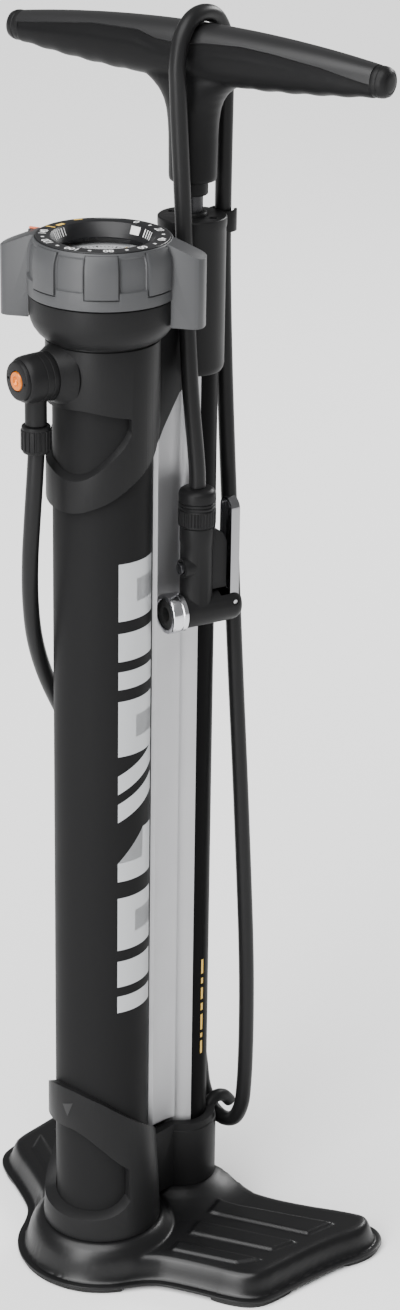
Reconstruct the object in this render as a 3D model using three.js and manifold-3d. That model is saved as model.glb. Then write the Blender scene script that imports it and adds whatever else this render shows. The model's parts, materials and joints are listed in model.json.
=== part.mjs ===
// Floor bike pump with a booster tank: base, tank, barrel, gauge with selector, T handle, hose and head.
// Millimetres, +Z up. The model is drawn about the tank's axis and then moved so that the middle of its
// footprint is the origin. +Y runs from the tank back to the barrel, +X to the right wing of the base.
import * as THREE from 'three';
import { mergeVertices } from 'three/addons/utils/BufferGeometryUtils.js';
import Module from 'manifold-3d';

const wasm = await Module();
wasm.setup();

// ---- driving dimensions ----
const GAP = 0.3; // between pieces that touch
const FOOTPRINT_MIDDLE_Y = 37.53; // from the tank's axis

const TANK_R = 28.5;
const TANK_WALL = 1.5;
const TANK_BOTTOM = 37.6;
const TANK_TOP = 600;

const BARREL_Y = 70; // barrel axis behind the tank's axis
const BARREL_R = 16;
const BORE_R = 13.5;
const BARREL_BOTTOM = 52;
const BARREL_TOP = 648;

const COLUMN_BOTTOM = 27.3; // foot column stands on the base
const SOCKET_R = 19.8;
const SOCKET_TOP = 72;
const HOOK_X = 8; // the hose turns up under this hook

const NECK_R = 32.3; // upper housing around the tank
const COLLAR_R = 41;
const CAP_R = 19.8;
const CAP_BOTTOM = 566;
const CAP_TOP = 656;

const GAUGE_TOP = 657;
const BEZEL_R = 42;
const TAB_ANGLE = 31.5; // direction of the right wing tab
const TAB_REACH = 58;
const NEEDLE_ANGLE = 95;

const ROD_R = 6;
const PISTON_BOTTOM = 80;
const HANDLE_Z = 747.5;
const HANDLE_ANGLE = 9.3; // the grip stands turned a little from +X
const HANDLE_HALF = 119; // to the end caps

const HOSE_R = 4.8;
const ELBOW_ANGLE = 260;
const ELBOW_Z = 583;
const ELBOW_REACH = 57;

const HEAD = new THREE.Vector3(25, 51.5, 429); // where the head's two barrels cross
const HEAD_ANGLE = 74.7; // from the valve face to the lever end
const HEAD_BARREL_R = 10.5;

const FINE = 32; // sides of the large round pieces
const MEDIUM = 20;
const SMALL = 14;
const TINY = 8;

// ---- colours ----
const look = (color, roughness, metalness = 0) => new THREE.MeshStandardMaterial({ color, roughness, metalness });
const blackPlastic = look(0x1b1b1d, 0.55);
const blackPaint = look(0x141416, 0.4);
const softBlack = look(0x2a2a2c, 0.7);
const rubber = look(0x151515, 0.8);
const greyPlastic = look(0x55565a, 0.6);
const silver = look(0xb4b6b8, 0.4, 0.9);
const steel = look(0xc8c8ca, 0.25, 1);
const darkSteel = look(0x2b2b2d, 0.35, 0.8);
const orangeMetal = look(0xd9822b, 0.35, 0.7);
const paleFace = look(0x8c8f90, 0.6);
const yellow = look(0xe7b52a, 0.5);
const clear = look(0xdfe6e8, 0.1);
const brass = look(0xb08a3c, 0.4, 0.8);

// ---- solids ----
const radians = THREE.MathUtils.degToRad;
const polar = (radius, degrees) => [radius * Math.cos(radians(degrees)), radius * Math.sin(radians(degrees))];

function volumeOf(geometry) {
  const position = geometry.attributes.position;
  const corner = [new THREE.Vector3(), new THREE.Vector3(), new THREE.Vector3()];
  let volume = 0;
  for (let i = 0; i < geometry.index.count; i += 3) {
    corner.forEach((point, k) => point.fromBufferAttribute(position, geometry.index.getX(i + k)));
    volume += corner[0].dot(corner[1].clone().cross(corner[2])) / 6;
  }
  return volume;
}

// Joins a geometry's shared vertices, drops its flat triangles and turns its faces outward.
function toSolid(geometry) {
  const plain = geometry.clone();
  plain.deleteAttribute('normal');
  plain.deleteAttribute('uv');
  const welded = mergeVertices(plain, 1e-4);
  const index = [];
  const raw = welded.index.array;
  for (let i = 0; i < raw.length; i += 3) {
    const [a, b, c] = [raw[i], raw[i + 1], raw[i + 2]];
    if (a !== b && b !== c && c !== a) index.push(a, b, c);
  }
  welded.setIndex(index);
  if (volumeOf(welded) < 0) {
    for (let i = 0; i < index.length; i += 3) [index[i + 1], index[i + 2]] = [index[i + 2], index[i + 1]];
  }
  return new wasm.Manifold(new wasm.Mesh({
    numProp: 3,
    vertProperties: new Float32Array(welded.attributes.position.array),
    triVerts: new Uint32Array(index),
  }));
}

function toGeometry(solid) {
  const { vertProperties, triVerts } = solid.getMesh();
  const geometry = new THREE.BufferGeometry();
  geometry.setAttribute('position', new THREE.BufferAttribute(new Float32Array(vertProperties), 3));
  geometry.setIndex(new THREE.BufferAttribute(new Uint32Array(triVerts), 1));
  geometry.computeVertexNormals();
  return geometry;
}

const join = (first, ...others) => others.reduce((sum, other) => sum.add(other), first);
const cut = (first, ...others) => others.reduce((left, other) => left.subtract(other), first);

// A turned piece about the line through origin along direction; profile points are [radius, height].
function turned(profile, sides, origin = [0, 0, 0], direction = [0, 0, 1]) {
  const geometry = new THREE.LatheGeometry(profile.map(([r, z]) => new THREE.Vector2(r, z)), sides);
  const upright = new THREE.Vector3(0, 1, 0);
  const along = new THREE.Vector3(...direction).normalize();
  geometry.applyQuaternion(new THREE.Quaternion().setFromUnitVectors(upright, along));
  geometry.translate(...origin);
  return toSolid(geometry);
}

const disc = (radius, z0, z1, sides, x = 0, y = 0) =>
  turned([[0, z0], [radius, z0], [radius, z1], [0, z1]], sides, [x, y, 0]);

const ring = (inner, outer, z0, z1, sides, x = 0, y = 0) =>
  turned([[inner, z0], [outer, z0], [outer, z1], [inner, z1], [inner, z0]], sides, [x, y, 0]);

// A round bar between two points.
function bar(from, to, radius, sides) {
  const start = new THREE.Vector3(...from);
  const along = new THREE.Vector3(...to).sub(start);
  return turned([[0, 0], [radius, 0], [radius, along.length()], [0, along.length()]], sides, from, along.toArray());
}

function box(size, centre, turn = 0) {
  const geometry = new THREE.BoxGeometry(...size);
  geometry.rotateZ(radians(turn));
  geometry.translate(...centre);
  return toSolid(geometry);
}

// A plan outline raised from z0 to z1.
function prism(outline, z0, z1) {
  const shape = new THREE.Shape(outline.map(([x, y]) => new THREE.Vector2(x, y)));
  const geometry = new THREE.ExtrudeGeometry(shape, { depth: z1 - z0, bevelEnabled: false });
  geometry.translate(0, 0, z0);
  return toSolid(geometry);
}

// An upright outline of [along, height] points, thickened across, in the plane turned by degrees.
function uprightPlate(outline, thickness, degrees, origin) {
  const shape = new THREE.Shape(outline.map(([s, z]) => new THREE.Vector2(s, z)));
  const geometry = new THREE.ExtrudeGeometry(shape, { depth: thickness, bevelEnabled: false });
  geometry.translate(0, 0, -thickness / 2);
  geometry.rotateX(Math.PI / 2);
  geometry.rotateZ(radians(degrees));
  geometry.translate(...origin);
  return toSolid(geometry);
}

// A band about the Z axis of [angle, low, high] stations, from inside a tube's wall to well outside it.
const BAND_STEP = 10; // degrees between the sections of a band
function radialBand(stations, inner, outer) {
  const sections = stations.slice(0, -1).flatMap((from, k) => {
    const to = stations[k + 1];
    const steps = Math.ceil((to[0] - from[0]) / BAND_STEP);
    return Array.from({ length: steps }, (_, i) => from.map((value, j) => value + ((to[j] - value) * i) / steps));
  });
  return loft([...sections, stations.at(-1)].map(([angle, low, high]) => {
    const [near, far] = [polar(inner, angle), polar(outer, angle)];
    return [[...near, low], [...far, low], [...far, high], [...near, high]];
  }));
}

// Rings of equal point counts, joined side to side and closed by a fan at each end.
function loft(rings) {
  const count = rings[0].length;
  const points = rings.flat();
  const index = [];
  for (let k = 0; k + 1 < rings.length; k += 1) {
    for (let i = 0; i < count; i += 1) {
      const next = (i + 1) % count;
      const [a, b, c, d] = [k * count + i, k * count + next, (k + 1) * count + next, (k + 1) * count + i];
      index.push(a, b, c, a, c, d);
    }
  }
  const last = (rings.length - 1) * count;
  for (let i = 1; i + 1 < count; i += 1) {
    index.push(0, i + 1, i);
    index.push(last, last + i, last + i + 1);
  }
  const geometry = new THREE.BufferGeometry();
  geometry.setAttribute('position', new THREE.Float32BufferAttribute(points.flat(), 3));
  geometry.setIndex(index);
  return toSolid(geometry);
}

// Plan outlines at rising heights, joined side to side; each end is triangulated.
function stack(levels) {
  const count = levels[0].outline.length;
  const positions = levels.flatMap(({ outline, z }) => outline.flatMap(([x, y]) => [x, y, z]));
  const index = [];
  for (let k = 0; k + 1 < levels.length; k += 1) {
    for (let i = 0; i < count; i += 1) {
      const next = (i + 1) % count;
      const [a, b, c, d] = [k * count + i, k * count + next, (k + 1) * count + next, (k + 1) * count + i];
      index.push(a, b, c, a, c, d);
    }
  }
  const capOf = (level) => THREE.ShapeUtils.triangulateShape(level.outline.map(([x, y]) => new THREE.Vector2(x, y)), []);
  const top = (levels.length - 1) * count;
  capOf(levels[0]).forEach(([a, b, c]) => index.push(a, c, b));
  capOf(levels.at(-1)).forEach(([a, b, c]) => index.push(top + a, top + b, top + c));
  const geometry = new THREE.BufferGeometry();
  geometry.setAttribute('position', new THREE.Float32BufferAttribute(positions, 3));
  geometry.setIndex(index);
  return toSolid(geometry);
}

// A round tube along hand-placed points.
function swept(points, radius, sides, step) {
  const curve = new THREE.CatmullRomCurve3(points.map((p) => new THREE.Vector3(...p)), false, 'centripetal');
  const section = new THREE.Shape();
  for (let i = 0; i < sides; i += 1) {
    const [x, y] = polar(radius, (360 * i) / sides);
    if (i === 0) section.moveTo(x, y);
    else section.lineTo(x, y);
  }
  const steps = Math.round(curve.getLength() / step);
  return toSolid(new THREE.ExtrudeGeometry(section, { steps, extrudePath: curve, bevelEnabled: false }));
}

const pump = new THREE.Group();
pump.position.y = -FOOTPRINT_MIDDLE_Y;

function add(name, solid, material) {
  const mesh = new THREE.Mesh(toGeometry(solid), material.clone());
  mesh.name = name;
  pump.add(mesh);
}

const arc = (radius, from, to, steps, x = 0, y = 0) =>
  Array.from({ length: steps + 1 }, (_, i) => {
    const [px, py] = polar(radius, from + ((to - from) * i) / steps);
    return [x + px, y + py];
  });

const mirrored = (half) => [...half, ...half.slice().reverse().filter(([x]) => Math.abs(x) > 1e-6).map(([x, y]) => [-x, y])];

// ---- base ----
// Right half of the flange, from the front of the lobe round the wing to the middle of the back.
const BASE_HALF = [
  ...arc(53.5, -90, -24, 7),
  [55, -13], [62, -7], [83, 2.5], [103, 10], [114, 17.5], [119.5, 28], [121, 52], [124.5, 86],
  [130, 104], [130, 116], [125, 127], [115, 133], [104, 132], [62, 108], [36, 100], [0, 99],
];
const BASE_OUTLINE = mirrored(BASE_HALF);

// Moves each corner of a closed outline inward along its two edges' mean normal.
function inset(outline, distance) {
  return outline.map((point, i) => {
    const before = outline[(i + outline.length - 1) % outline.length];
    const after = outline[(i + 1) % outline.length];
    const edgeIn = new THREE.Vector2(point[0] - before[0], point[1] - before[1]).normalize();
    const edgeOut = new THREE.Vector2(after[0] - point[0], after[1] - point[1]).normalize();
    const normal = new THREE.Vector2(-(edgeIn.y + edgeOut.y), edgeIn.x + edgeOut.x).normalize();
    const reach = distance / Math.max(0.5, normal.dot(new THREE.Vector2(-edgeIn.y, edgeIn.x)));
    return [point[0] + normal.x * reach, point[1] + normal.y * reach];
  });
}

const FLANGE_Z = 3; // underside of the flange, on the feet
const SHEET = 2;
const WING_TOP = 19;
const BOLT_PLACES = [[-19, -4], [19, -4], [0, 70]];

function basePlate() {
  const level = (distance, z) => ({ outline: inset(BASE_OUTLINE, distance), z });
  const outside = stack([level(0, FLANGE_Z), level(0, FLANGE_Z + SHEET), level(5, FLANGE_Z + SHEET),
    level(8, 15), level(11, WING_TOP - 1), level(14, WING_TOP)]);
  const inside = stack([level(6.5, FLANGE_Z - 1), level(9, 14), level(13, WING_TOP - SHEET)]);
  const dome = (shrink, drop) => turned([[0, 4], [48.5 - shrink, 4], [47 - shrink, 15], [43 - shrink, 23 - drop],
    [38 - shrink, 27 - drop], [0, 27 - drop]], FINE);
  const boss = (shrink, drop) => turned([[0, 8], [36 - shrink, 8], [30 - shrink, 18 - drop], [24 - shrink, 25 - drop],
    [21 - shrink, 27 - drop], [0, 27 - drop]], MEDIUM, [0, BARREL_Y, 0]);
  const saddle = (shrink, drop) => box([34 - 2 * shrink, BARREL_Y, 19 - drop], [0, BARREL_Y / 2, (35 - drop) / 2]);
  const shell = cut(join(outside, dome(0, 0), boss(0, 0), saddle(0, 0)),
    inside, dome(SHEET, SHEET), boss(SHEET, SHEET), saddle(SHEET, SHEET),
    box([70, 60, 4], [0, 10, 5]), box([50, 40, 6], [0, BARREL_Y, 6]));
  const treads = [
    [[50, 6], [93, 27], [96, 38], [52, 17]],
    [[46, 28], [97, 52], [99, 68], [44, 42]],
    [[42, 53], [101, 81], [103, 101], [40, 68]],
  ].flatMap((outline) => [outline, outline.map(([x, y]) => [-x, y])])
    .map((outline) => prism(outline, WING_TOP - 1, WING_TOP + 1));
  const holes = BOLT_PLACES.map(([x, y]) => disc(3.4, 20, 30, TINY, x, y));
  return cut(join(shell, ...treads), ...holes);
}

function addBase() {
  add('base_plate', basePlate(), blackPaint);
  const footOutline = [...arc(51.5, -150, -30, 12), ...arc(47, -30, -150, 12)];
  add('foot_front', prism(footOutline, 0, FLANGE_Z - GAP), rubber);
  const cornerFoot = (side, points) => prism(points.map(([x, y]) => [side * x, y]), 0, FLANGE_Z - GAP);
  const frontCorner = [[88, 6], [103, 11.6], [113, 18.5], [118, 28.5], [119.4, 50], [114.6, 50], [113.5, 30], [109, 22],
    [101, 17], [88, 12]];
  const rearCorner = [[124.4, 92], [128.4, 104.5], [128.5, 115.5], [124, 125.7], [114.6, 131.4], [105, 130.6],
    [105, 125.5], [113, 126], [120, 122], [123.4, 114.5], [123.4, 105.5], [119.5, 92]];
  for (const [label, side] of [['left', -1], ['right', 1]]) {
    add(`foot_${label}_front`, cornerFoot(side, frontCorner), rubber);
    add(`foot_${label}_rear`, cornerFoot(side, rearCorner), rubber);
  }
  BOLT_PLACES.forEach(([x, y], i) => {
    const head = disc(5.5, 19.5, 24.7, 6, x, y);
    const shank = disc(3, 24.6, 35.4, TINY, x, y);
    add(`base_bolt_${i + 1}`, join(head, shank), steel);
  });
}

// ---- foot column ----
// The window in front of the tank, as [angle about the tank, low, high].
const COLUMN_WINDOW = Array.from({ length: 13 }, (_, i) => -172 + (164 * i) / 12)
  .map((angle) => [angle, 40 + Math.max(0, Math.abs(angle + 90) - 45) * 0.32, 102 - Math.abs(angle + 90) * 0.36]);
// The strap's top edge falls from the front to the barrel socket.
const STRAP_TOP = [[-130, 125], [-90, 126], [-50, 125], [-25, 118], [0, 110], [30, 92], [62, 78], [90, 74], [118, 78],
  [150, 92], [180, 110], [205, 118], [230, 125]];

function footColumn() {
  const tankSleeve = turned([[0, COLUMN_BOTTOM], [36.5, COLUMN_BOTTOM], [35.5, 50], [33, 92], [33, 126],
    [TANK_R + GAP, 126], [TANK_R + GAP, TANK_BOTTOM - GAP], [0, TANK_BOTTOM - GAP]], FINE);
  const trim = radialBand(STRAP_TOP.map(([angle, z]) => [angle, z, 140]), 20, 60);
  const socket = disc(SOCKET_R, COLUMN_BOTTOM, SOCKET_TOP, MEDIUM, 0, BARREL_Y);
  const bridge = box([24, 44, SOCKET_TOP - COLUMN_BOTTOM], [0, 44, (SOCKET_TOP + COLUMN_BOTTOM) / 2]);
  const hookArm = box([9, 24, 7], [HOOK_X, BARREL_Y + SOCKET_R + 6, 69]);
  const hookLip = box([9, 3, 10], [HOOK_X, BARREL_Y + SOCKET_R + 18.3, 67.5]);
  return cut(join(cut(tankSleeve, trim), socket, bridge, hookArm, hookLip),
    disc(TANK_R + GAP, TANK_BOTTOM - GAP, 140, FINE),
    disc(BARREL_R + GAP, BARREL_BOTTOM - GAP, 140, MEDIUM, 0, BARREL_Y),
    webSolid(GAP, BARREL_BOTTOM - GAP, 140),
    radialBand(COLUMN_WINDOW, 20, 60),
    disc(2.2, 33, 60, TINY, 0, BARREL_Y - 8), bar([0, BARREL_Y - 8, 35], [0, 4, 35], 2.2, TINY),
    disc(2.2, 33, 40, TINY, 0, 4),
    ...BOLT_PLACES.map(([x, y]) => disc(3 + GAP, 20, 35.8, TINY, x, y)));
}

// ---- tank and barrel ----
// Half of the web and of the cradle that hugs the tank; grow widens it all round.
function webSolid(grow, z0, z1) {
  const cradleIn = TANK_R + GAP - grow;
  const cradleOut = TANK_R + 3 + grow;
  const half = [
    [0, 62], [9 + grow, 58], [6 + grow, 50], [5.4 + grow, 41], [6.6 + grow, 34.6],
    [10 + grow, 30.2 + grow], ...arc(cradleOut, 68, 48 - 1.5 * grow, 4), ...arc(cradleIn, 48 - 1.5 * grow, 90, 7),
  ];
  return prism(mirrored(half), z0, z1);
}

const gussetSide = (grow) => [[14, 608], [58, 608], [58, 562 - grow], [50, 558 - grow], [24, 525 - grow],
  [14, 520 - grow]];

function gusset(grow) {
  const plan = [[18, 14], [12.5, 36], [10.5, 58]].map(([x, y]) => [x + grow, y]);
  const waist = prism([...plan, ...plan.slice().reverse().map(([x, y]) => [-x, y])], 500, 620);
  return waist.intersect(uprightPlate(gussetSide(grow), 50, 90, [0, 0, 0]));
}

function addTankAndBarrel() {
  add('tank_tube', ring(TANK_R - TANK_WALL, TANK_R, TANK_BOTTOM, TANK_TOP, FINE), blackPaint);
  const plugR = TANK_R - TANK_WALL - GAP;
  const plug = (z0, z1, grooveZ) => cut(disc(plugR, z0, z1, MEDIUM), disc(4, z0 - 1, z1 + 1, TINY),
    ring(plugR - 2.4, plugR + 2, grooveZ - 1.6, grooveZ + 1.6, MEDIUM));
  const seal = (z) => ring(plugR - 2.1, plugR - 0.1, z - 1.3, z + 1.3, MEDIUM);
  add('tank_bottom_plug', plug(TANK_BOTTOM, 52, 46), blackPlastic);
  add('tank_bottom_seal', seal(46), rubber);
  add('tank_top_plug', plug(584, TANK_TOP, 592), blackPlastic);
  add('tank_top_seal', seal(592), rubber);

  const neck = ring(20, NECK_R + 2, 546, 620, FINE);
  const web = cut(webSolid(0, 74, 566), gusset(GAP), neck);
  const tube = disc(BARREL_R, BARREL_BOTTOM, BARREL_TOP, MEDIUM, 0, BARREL_Y);
  const extrusion = cut(join(tube, web), disc(BORE_R, BARREL_BOTTOM - 1, BARREL_TOP + 1, MEDIUM, 0, BARREL_Y));
  add('barrel_extrusion', extrusion, silver);

  const seat = cut(disc(BORE_R - GAP, 60, 68, MEDIUM, 0, BARREL_Y), disc(2.5, 59, 69, TINY, 0, BARREL_Y));
  const carrier = cut(disc(BORE_R - GAP, BARREL_BOTTOM, 60 - GAP, MEDIUM, 0, BARREL_Y),
    disc(7.5, 54, 61, SMALL, 0, BARREL_Y), disc(2.2, 51, 55, TINY, 0, BARREL_Y - 5));
  add('check_valve_seat', seat, brass);
  add('check_valve_carrier', carrier, blackPlastic);
  add('check_valve_disc', disc(5.5, 57.7, 59.7, SMALL, 0, BARREL_Y), rubber);
}

// ---- upper housing and cap ----
const HOUSING_WINDOW = [[-108, 548, 556], [-104, 540, 562], [-98, 533, 566], [-84, 527.5, 565], [-66, 527, 563.8],
  [-48, 531, 562.6], [-30, 540, 561.4], [-12, 552, 560]];
// The strap's lower edge rises from the front to the barrel.
const STRAP_BOTTOM = [[-270, 556], [-235, 552], [-200, 533], [-163, 514], [-130, 505], [-95, 502.5], [-60, 505],
  [-36, 513], [-10, 523], [17, 532], [52, 552], [90, 556]];

function upperHousing() {
  const cup = turned([[TANK_R + GAP, 500], [NECK_R, 500], [NECK_R, 601], [36, 604], [COLLAR_R, 611.5],
    [COLLAR_R, 624.5], [38.8, 624.5], [38.8, 610], [33, 603], [9, 603], [9, TANK_TOP + GAP], [TANK_R + GAP, TANK_TOP + GAP],
    [TANK_R + GAP, 500]], FINE);
  const trim = radialBand(STRAP_BOTTOM.map(([angle, z]) => [angle, 480, z]), 20, 60);
  const boss = turned([[0, 28], [19, 28], [16.5, 33], [14.2, 37], [0, 37]], MEDIUM, [0, 0, ELBOW_Z],
    [...polar(1, ELBOW_ANGLE), 0]);
  return cut(join(cut(cup, trim), gusset(0), boss),
    disc(TANK_R + GAP, 480, TANK_TOP + GAP, FINE),
    disc(BARREL_R + GAP, 480, 700, MEDIUM, 0, BARREL_Y),
    disc(CAP_R + GAP, CAP_BOTTOM - GAP, 700, MEDIUM, 0, BARREL_Y),
    radialBand(HOUSING_WINDOW, 20, 60));
}

const CLIP_Y = BARREL_Y + 24.8;

function addHousingAndCap() {
  add('upper_housing', upperHousing(), blackPlastic);
  const sleeve = turned([[BARREL_R + GAP, CAP_BOTTOM], [CAP_R - 1.6, CAP_BOTTOM], [CAP_R - 0.4, CAP_BOTTOM + 3],
    [CAP_R - 0.4, 649], [CAP_R, 651], [CAP_R, CAP_TOP], [9, CAP_TOP], [9, BARREL_TOP + GAP],
    [BARREL_R + GAP, BARREL_TOP + GAP], [BARREL_R + GAP, CAP_BOTTOM]], MEDIUM, [0, BARREL_Y, 0]);
  const clipArm = box([9, 5, 12], [0, BARREL_Y + CAP_R, 649]);
  const clipRing = cut(disc(8.2, 643, 655, SMALL, 0, CLIP_Y), disc(6.3, 642, 656, SMALL, 0, CLIP_Y),
    box([7, 8, 14], [0, CLIP_Y + 7, 649]));
  const screwHoles = [-1, 1].map((side) => disc(2.3, 645, 657, TINY, side * 13.4, BARREL_Y + side * 3));
  add('barrel_cap', cut(join(sleeve, cut(clipArm, disc(17, 640, 660, MEDIUM, 0, BARREL_Y),
    disc(6.3, 640, 660, SMALL, 0, CLIP_Y)), clipRing), ...screwHoles), blackPlastic);
  for (const [label, side] of [['left', -1], ['right', 1]]) {
    add(`cap_screw_${label}`, disc(2, 649, 655, TINY, side * 13.4, BARREL_Y + side * 3), darkSteel);
  }
  add('rod_bush', turned([[ROD_R + GAP, 636], [BORE_R - GAP, 636], [BORE_R - GAP, 647], [8.7, 647.6], [8.7, 657.6],
    [7.6, 658.4], [ROD_R + GAP, 658.4], [ROD_R + GAP, 636]], MEDIUM, [0, BARREL_Y, 0]), blackPlastic);
}

// ---- gauge and selector ----
function bezel() {
  const body = turned([[35.2, 618], [38.4, 618], [38.4, 625.2], [BEZEL_R, 625.2], [BEZEL_R, 645], [41.4, 650],
    [38.6, GAUGE_TOP - 0.6], [37.7, GAUGE_TOP - 0.6], [37.7, 651.5], [35.2, 648], [35.2, 618]], FINE);
  const tab = [[34, -8], [TAB_REACH - 4, -8], [TAB_REACH, -4], [TAB_REACH, 4], [TAB_REACH - 4, 8], [34, 8]];
  const tabs = [0, 180].map((turn) => {
    const outline = tab.map(([along, across]) => {
      const direction = radians(TAB_ANGLE + turn);
      return [along * Math.cos(direction) - across * Math.sin(direction),
        along * Math.sin(direction) + across * Math.cos(direction)];
    });
    const slope = uprightPlate([[39, 656.3], [39, 670], [64, 670], [64, 646]], 30, TAB_ANGLE + turn, [0, 0, 0]);
    return cut(prism(outline, 609.5, 656.2), slope);
  });
  const pads = [5, -45, -95, 185, 135, 85]
    .map((angle) => box([3, 17, 18], [...polar(BEZEL_R - 0.7, angle), 641], angle));
  return cut(join(body, ...tabs, ...pads), disc(COLLAR_R + GAP, 600, 624.8, FINE),
    disc(35.2, 624, 660, FINE), ring(0.01, 37.7, 651.5, 660, FINE));
}

function addGauge() {
  const canProfile = [[0, 603.4], [8.6, 603.4], [8.6, 619], [34.8, 619], [34.8, 651.2], [32.6, 651.2], [32.6, 622],
    [0, 622]];
  add('gauge_can', cut(turned(canProfile, MEDIUM), disc(2, 600, 625, TINY)), darkSteel);
  add('selector_valve_ring', ring(12, 38, 612, 617.6, MEDIUM), greyPlastic);
  add('selector_bezel', bezel(), greyPlastic);
  add('numeral_ring', turned([[25.4, 649], [27.4, 649], [28.4, 651.6], [37.4, 651.9], [37.4, GAUGE_TOP],
    [29, GAUGE_TOP], [25.4, 649]], FINE), blackPlastic);
  add('gauge_lens', disc(32, 647.2, 648.7, MEDIUM), clear);
  add('gauge_face', cut(disc(32, 642.6, 644, MEDIUM), disc(1.8, 640, 646, TINY)), paleFace);
  const [tipX, tipY] = polar(20, NEEDLE_ANGLE);
  const pointer = [polar(7, NEEDLE_ANGLE + 180), polar(1.6, NEEDLE_ANGLE - 90), [tipX, tipY],
    polar(1.6, NEEDLE_ANGLE + 90)];
  const needle = join(prism(pointer, 645.2, 646), disc(3, 644.5, 646.8, SMALL), disc(1.3, 633.4, 645, TINY));
  add('gauge_needle', needle, yellow);
  const movement = cut(box([18, 12, 9], [0, 0, 633]), disc(1.7, 631, 640, TINY));
  add('gauge_movement', movement, brass);
  const coil = arc(24, -60, 200, 14).map(([x, y]) => [x, y, 630]);
  add('pressure_tube', swept(coil, 2.6, 8, 12), brass);
}

// ---- elbow and hose nut ----
function addElbow() {
  const outward = [...polar(1, ELBOW_ANGLE), 0];
  const centre = [0, 0, ELBOW_Z];
  const pipe = polar(44.5, ELBOW_ANGLE);
  const body = turned([[0, 37.3], [13.4, 37.3], [13.4, 39.8], [12.9, 40.3], [12.9, 41.2], [13.4, 41.7], [13.4, 50],
    [12.6, 53.5], [11.6, 54.6], [0, 54.6]], MEDIUM, centre, outward);
  const downPipe = turned([[0, 555.8], [6.2, 555.8], [6.2, 575], [0, 575]], SMALL, [...pipe, 0]);
  const socket = turned([[0, 45], [4.2, 45], [4.2, 60], [0, 60]], SMALL, centre, outward);
  add('elbow_body', cut(join(body, downPipe), socket), blackPlastic);
  add('elbow_end_cap', cut(turned([[3.6 + GAP, 54.9], [11.4, 54.9], [11, ELBOW_REACH - 0.6], [10.4, ELBOW_REACH],
    [5.9, ELBOW_REACH], [5.9, ELBOW_REACH - 1.2], [3.6 + GAP, ELBOW_REACH - 1.2], [3.6 + GAP, 54.9]], MEDIUM, centre,
  outward)), blackPlastic);
  add('elbow_screw', cut(turned([[0, 46], [3.6, 46], [3.6, ELBOW_REACH - 0.9], [5.5, ELBOW_REACH - 0.9],
    [5.2, ELBOW_REACH + 0.6], [0, ELBOW_REACH + 0.6]], SMALL, centre, outward),
  turned([[0, 55], [2.4, 55], [2.4, 60], [0, 60]], 6, centre, outward)), orangeMetal);
  const ribs = Array.from({ length: 36 }, (_, i) => {
    const [x, y] = polar(i % 2 ? 8.7 : 8, i * 10);
    return [pipe[0] + x, pipe[1] + y];
  });
  const nut = join(prism(ribs, 541.5, 553.5), disc(8.2, 553.4, 555.5, SMALL, ...pipe), disc(7.6, 539.9, 541.6, SMALL, ...pipe));
  add('hose_nut', nut, blackPlastic);
}

// ---- plunger ----
function handleGrip() {
  const stations = [-119, -100, -75, -45, -16, 16, 45, 75, 100, 119];
  const sides = 18;
  const rings = stations.map((s) => {
    const ease = (s / 125) ** 2;
    const wave = 0.7 * Math.cos((s * Math.PI) / 15) * (Math.abs(s) > 40 ? 1 : 0);
    const up = 17 - 9 * ease;
    const down = 15.6 - 7.6 * ease + wave;
    const half = 16 - 8 * ease;
    return Array.from({ length: sides }, (_, i) => {
      const [y, z] = polar(1, (360 * i) / sides);
      return [s, y * half, z * (z > 0 ? up : down)];
    });
  });
  const grip = loft(rings);
  const stem = turned([[0, -71.5], [13.4, -71.5], [14.2, -69], [14.5, -46], [15.2, -33], [15.8, -18], [15.8, -6],
    [0, -6]], MEDIUM);
  const fillet = uprightPlate([[-34, -10], [-26, -14.5], [-20, -20], [-16.6, -27], [-14.8, -36], [14.8, -36],
    [16.6, -27], [20, -20], [26, -14.5], [34, -10], [30, -4], [-30, -4]], 22, 0, [0, 0, 0]);
  const socket = turned([[0, -80], [ROD_R + GAP, -80], [ROD_R + GAP, -44], [0, -44]], SMALL);
  return cut(join(grip, stem, fillet), socket)
    .rotate([0, 0, HANDLE_ANGLE]).translate([0, BARREL_Y, HANDLE_Z]);
}

function addPlunger() {
  add('handle_grip', handleGrip(), softBlack);
  for (const [label, turn] of [['right', 0], ['left', 180]]) {
    const outward = [...polar(1, HANDLE_ANGLE + turn), 0];
    const profile = [[0, HANDLE_HALF + GAP], [8.1, HANDLE_HALF + GAP], [8.2, 123.5], [7.2, 126.4], [5, 127.6], [0, 128]];
    add(`handle_cap_${label}`, turned(profile, SMALL, [0, BARREL_Y, HANDLE_Z], outward), blackPlastic);
  }
  const rodTop = HANDLE_Z - 44 - GAP;
  add('piston_rod', disc(ROD_R, PISTON_BOTTOM - 7, rodTop, SMALL, 0, BARREL_Y), darkSteel);
  add('rod_nut', ring(ROD_R + GAP, 8.8, 668, HANDLE_Z - 71.5 - GAP, SMALL, 0, BARREL_Y), blackPlastic);
  const grooveZ = PISTON_BOTTOM + 8;
  const piston = turned([[ROD_R + GAP, PISTON_BOTTOM], [13.1, PISTON_BOTTOM], [13.1, grooveZ - 2.5], [10, grooveZ - 2.5],
    [10, grooveZ + 2.5], [13.1, grooveZ + 2.5], [13.1, PISTON_BOTTOM + 16], [ROD_R + GAP, PISTON_BOTTOM + 16],
    [ROD_R + GAP, PISTON_BOTTOM]], MEDIUM, [0, BARREL_Y, 0]);
  add('piston', piston, blackPlastic);
  add('piston_seal', ring(10.3, BORE_R - 0.2, grooveZ - 2.2, grooveZ + 2.2, MEDIUM, 0, BARREL_Y), rubber);
  add('piston_nut', cut(disc(10, PISTON_BOTTOM - 5, PISTON_BOTTOM - GAP, 6, 0, BARREL_Y),
    disc(ROD_R + GAP, PISTON_BOTTOM - 6, PISTON_BOTTOM, SMALL, 0, BARREL_Y)), steel);
}

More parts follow.
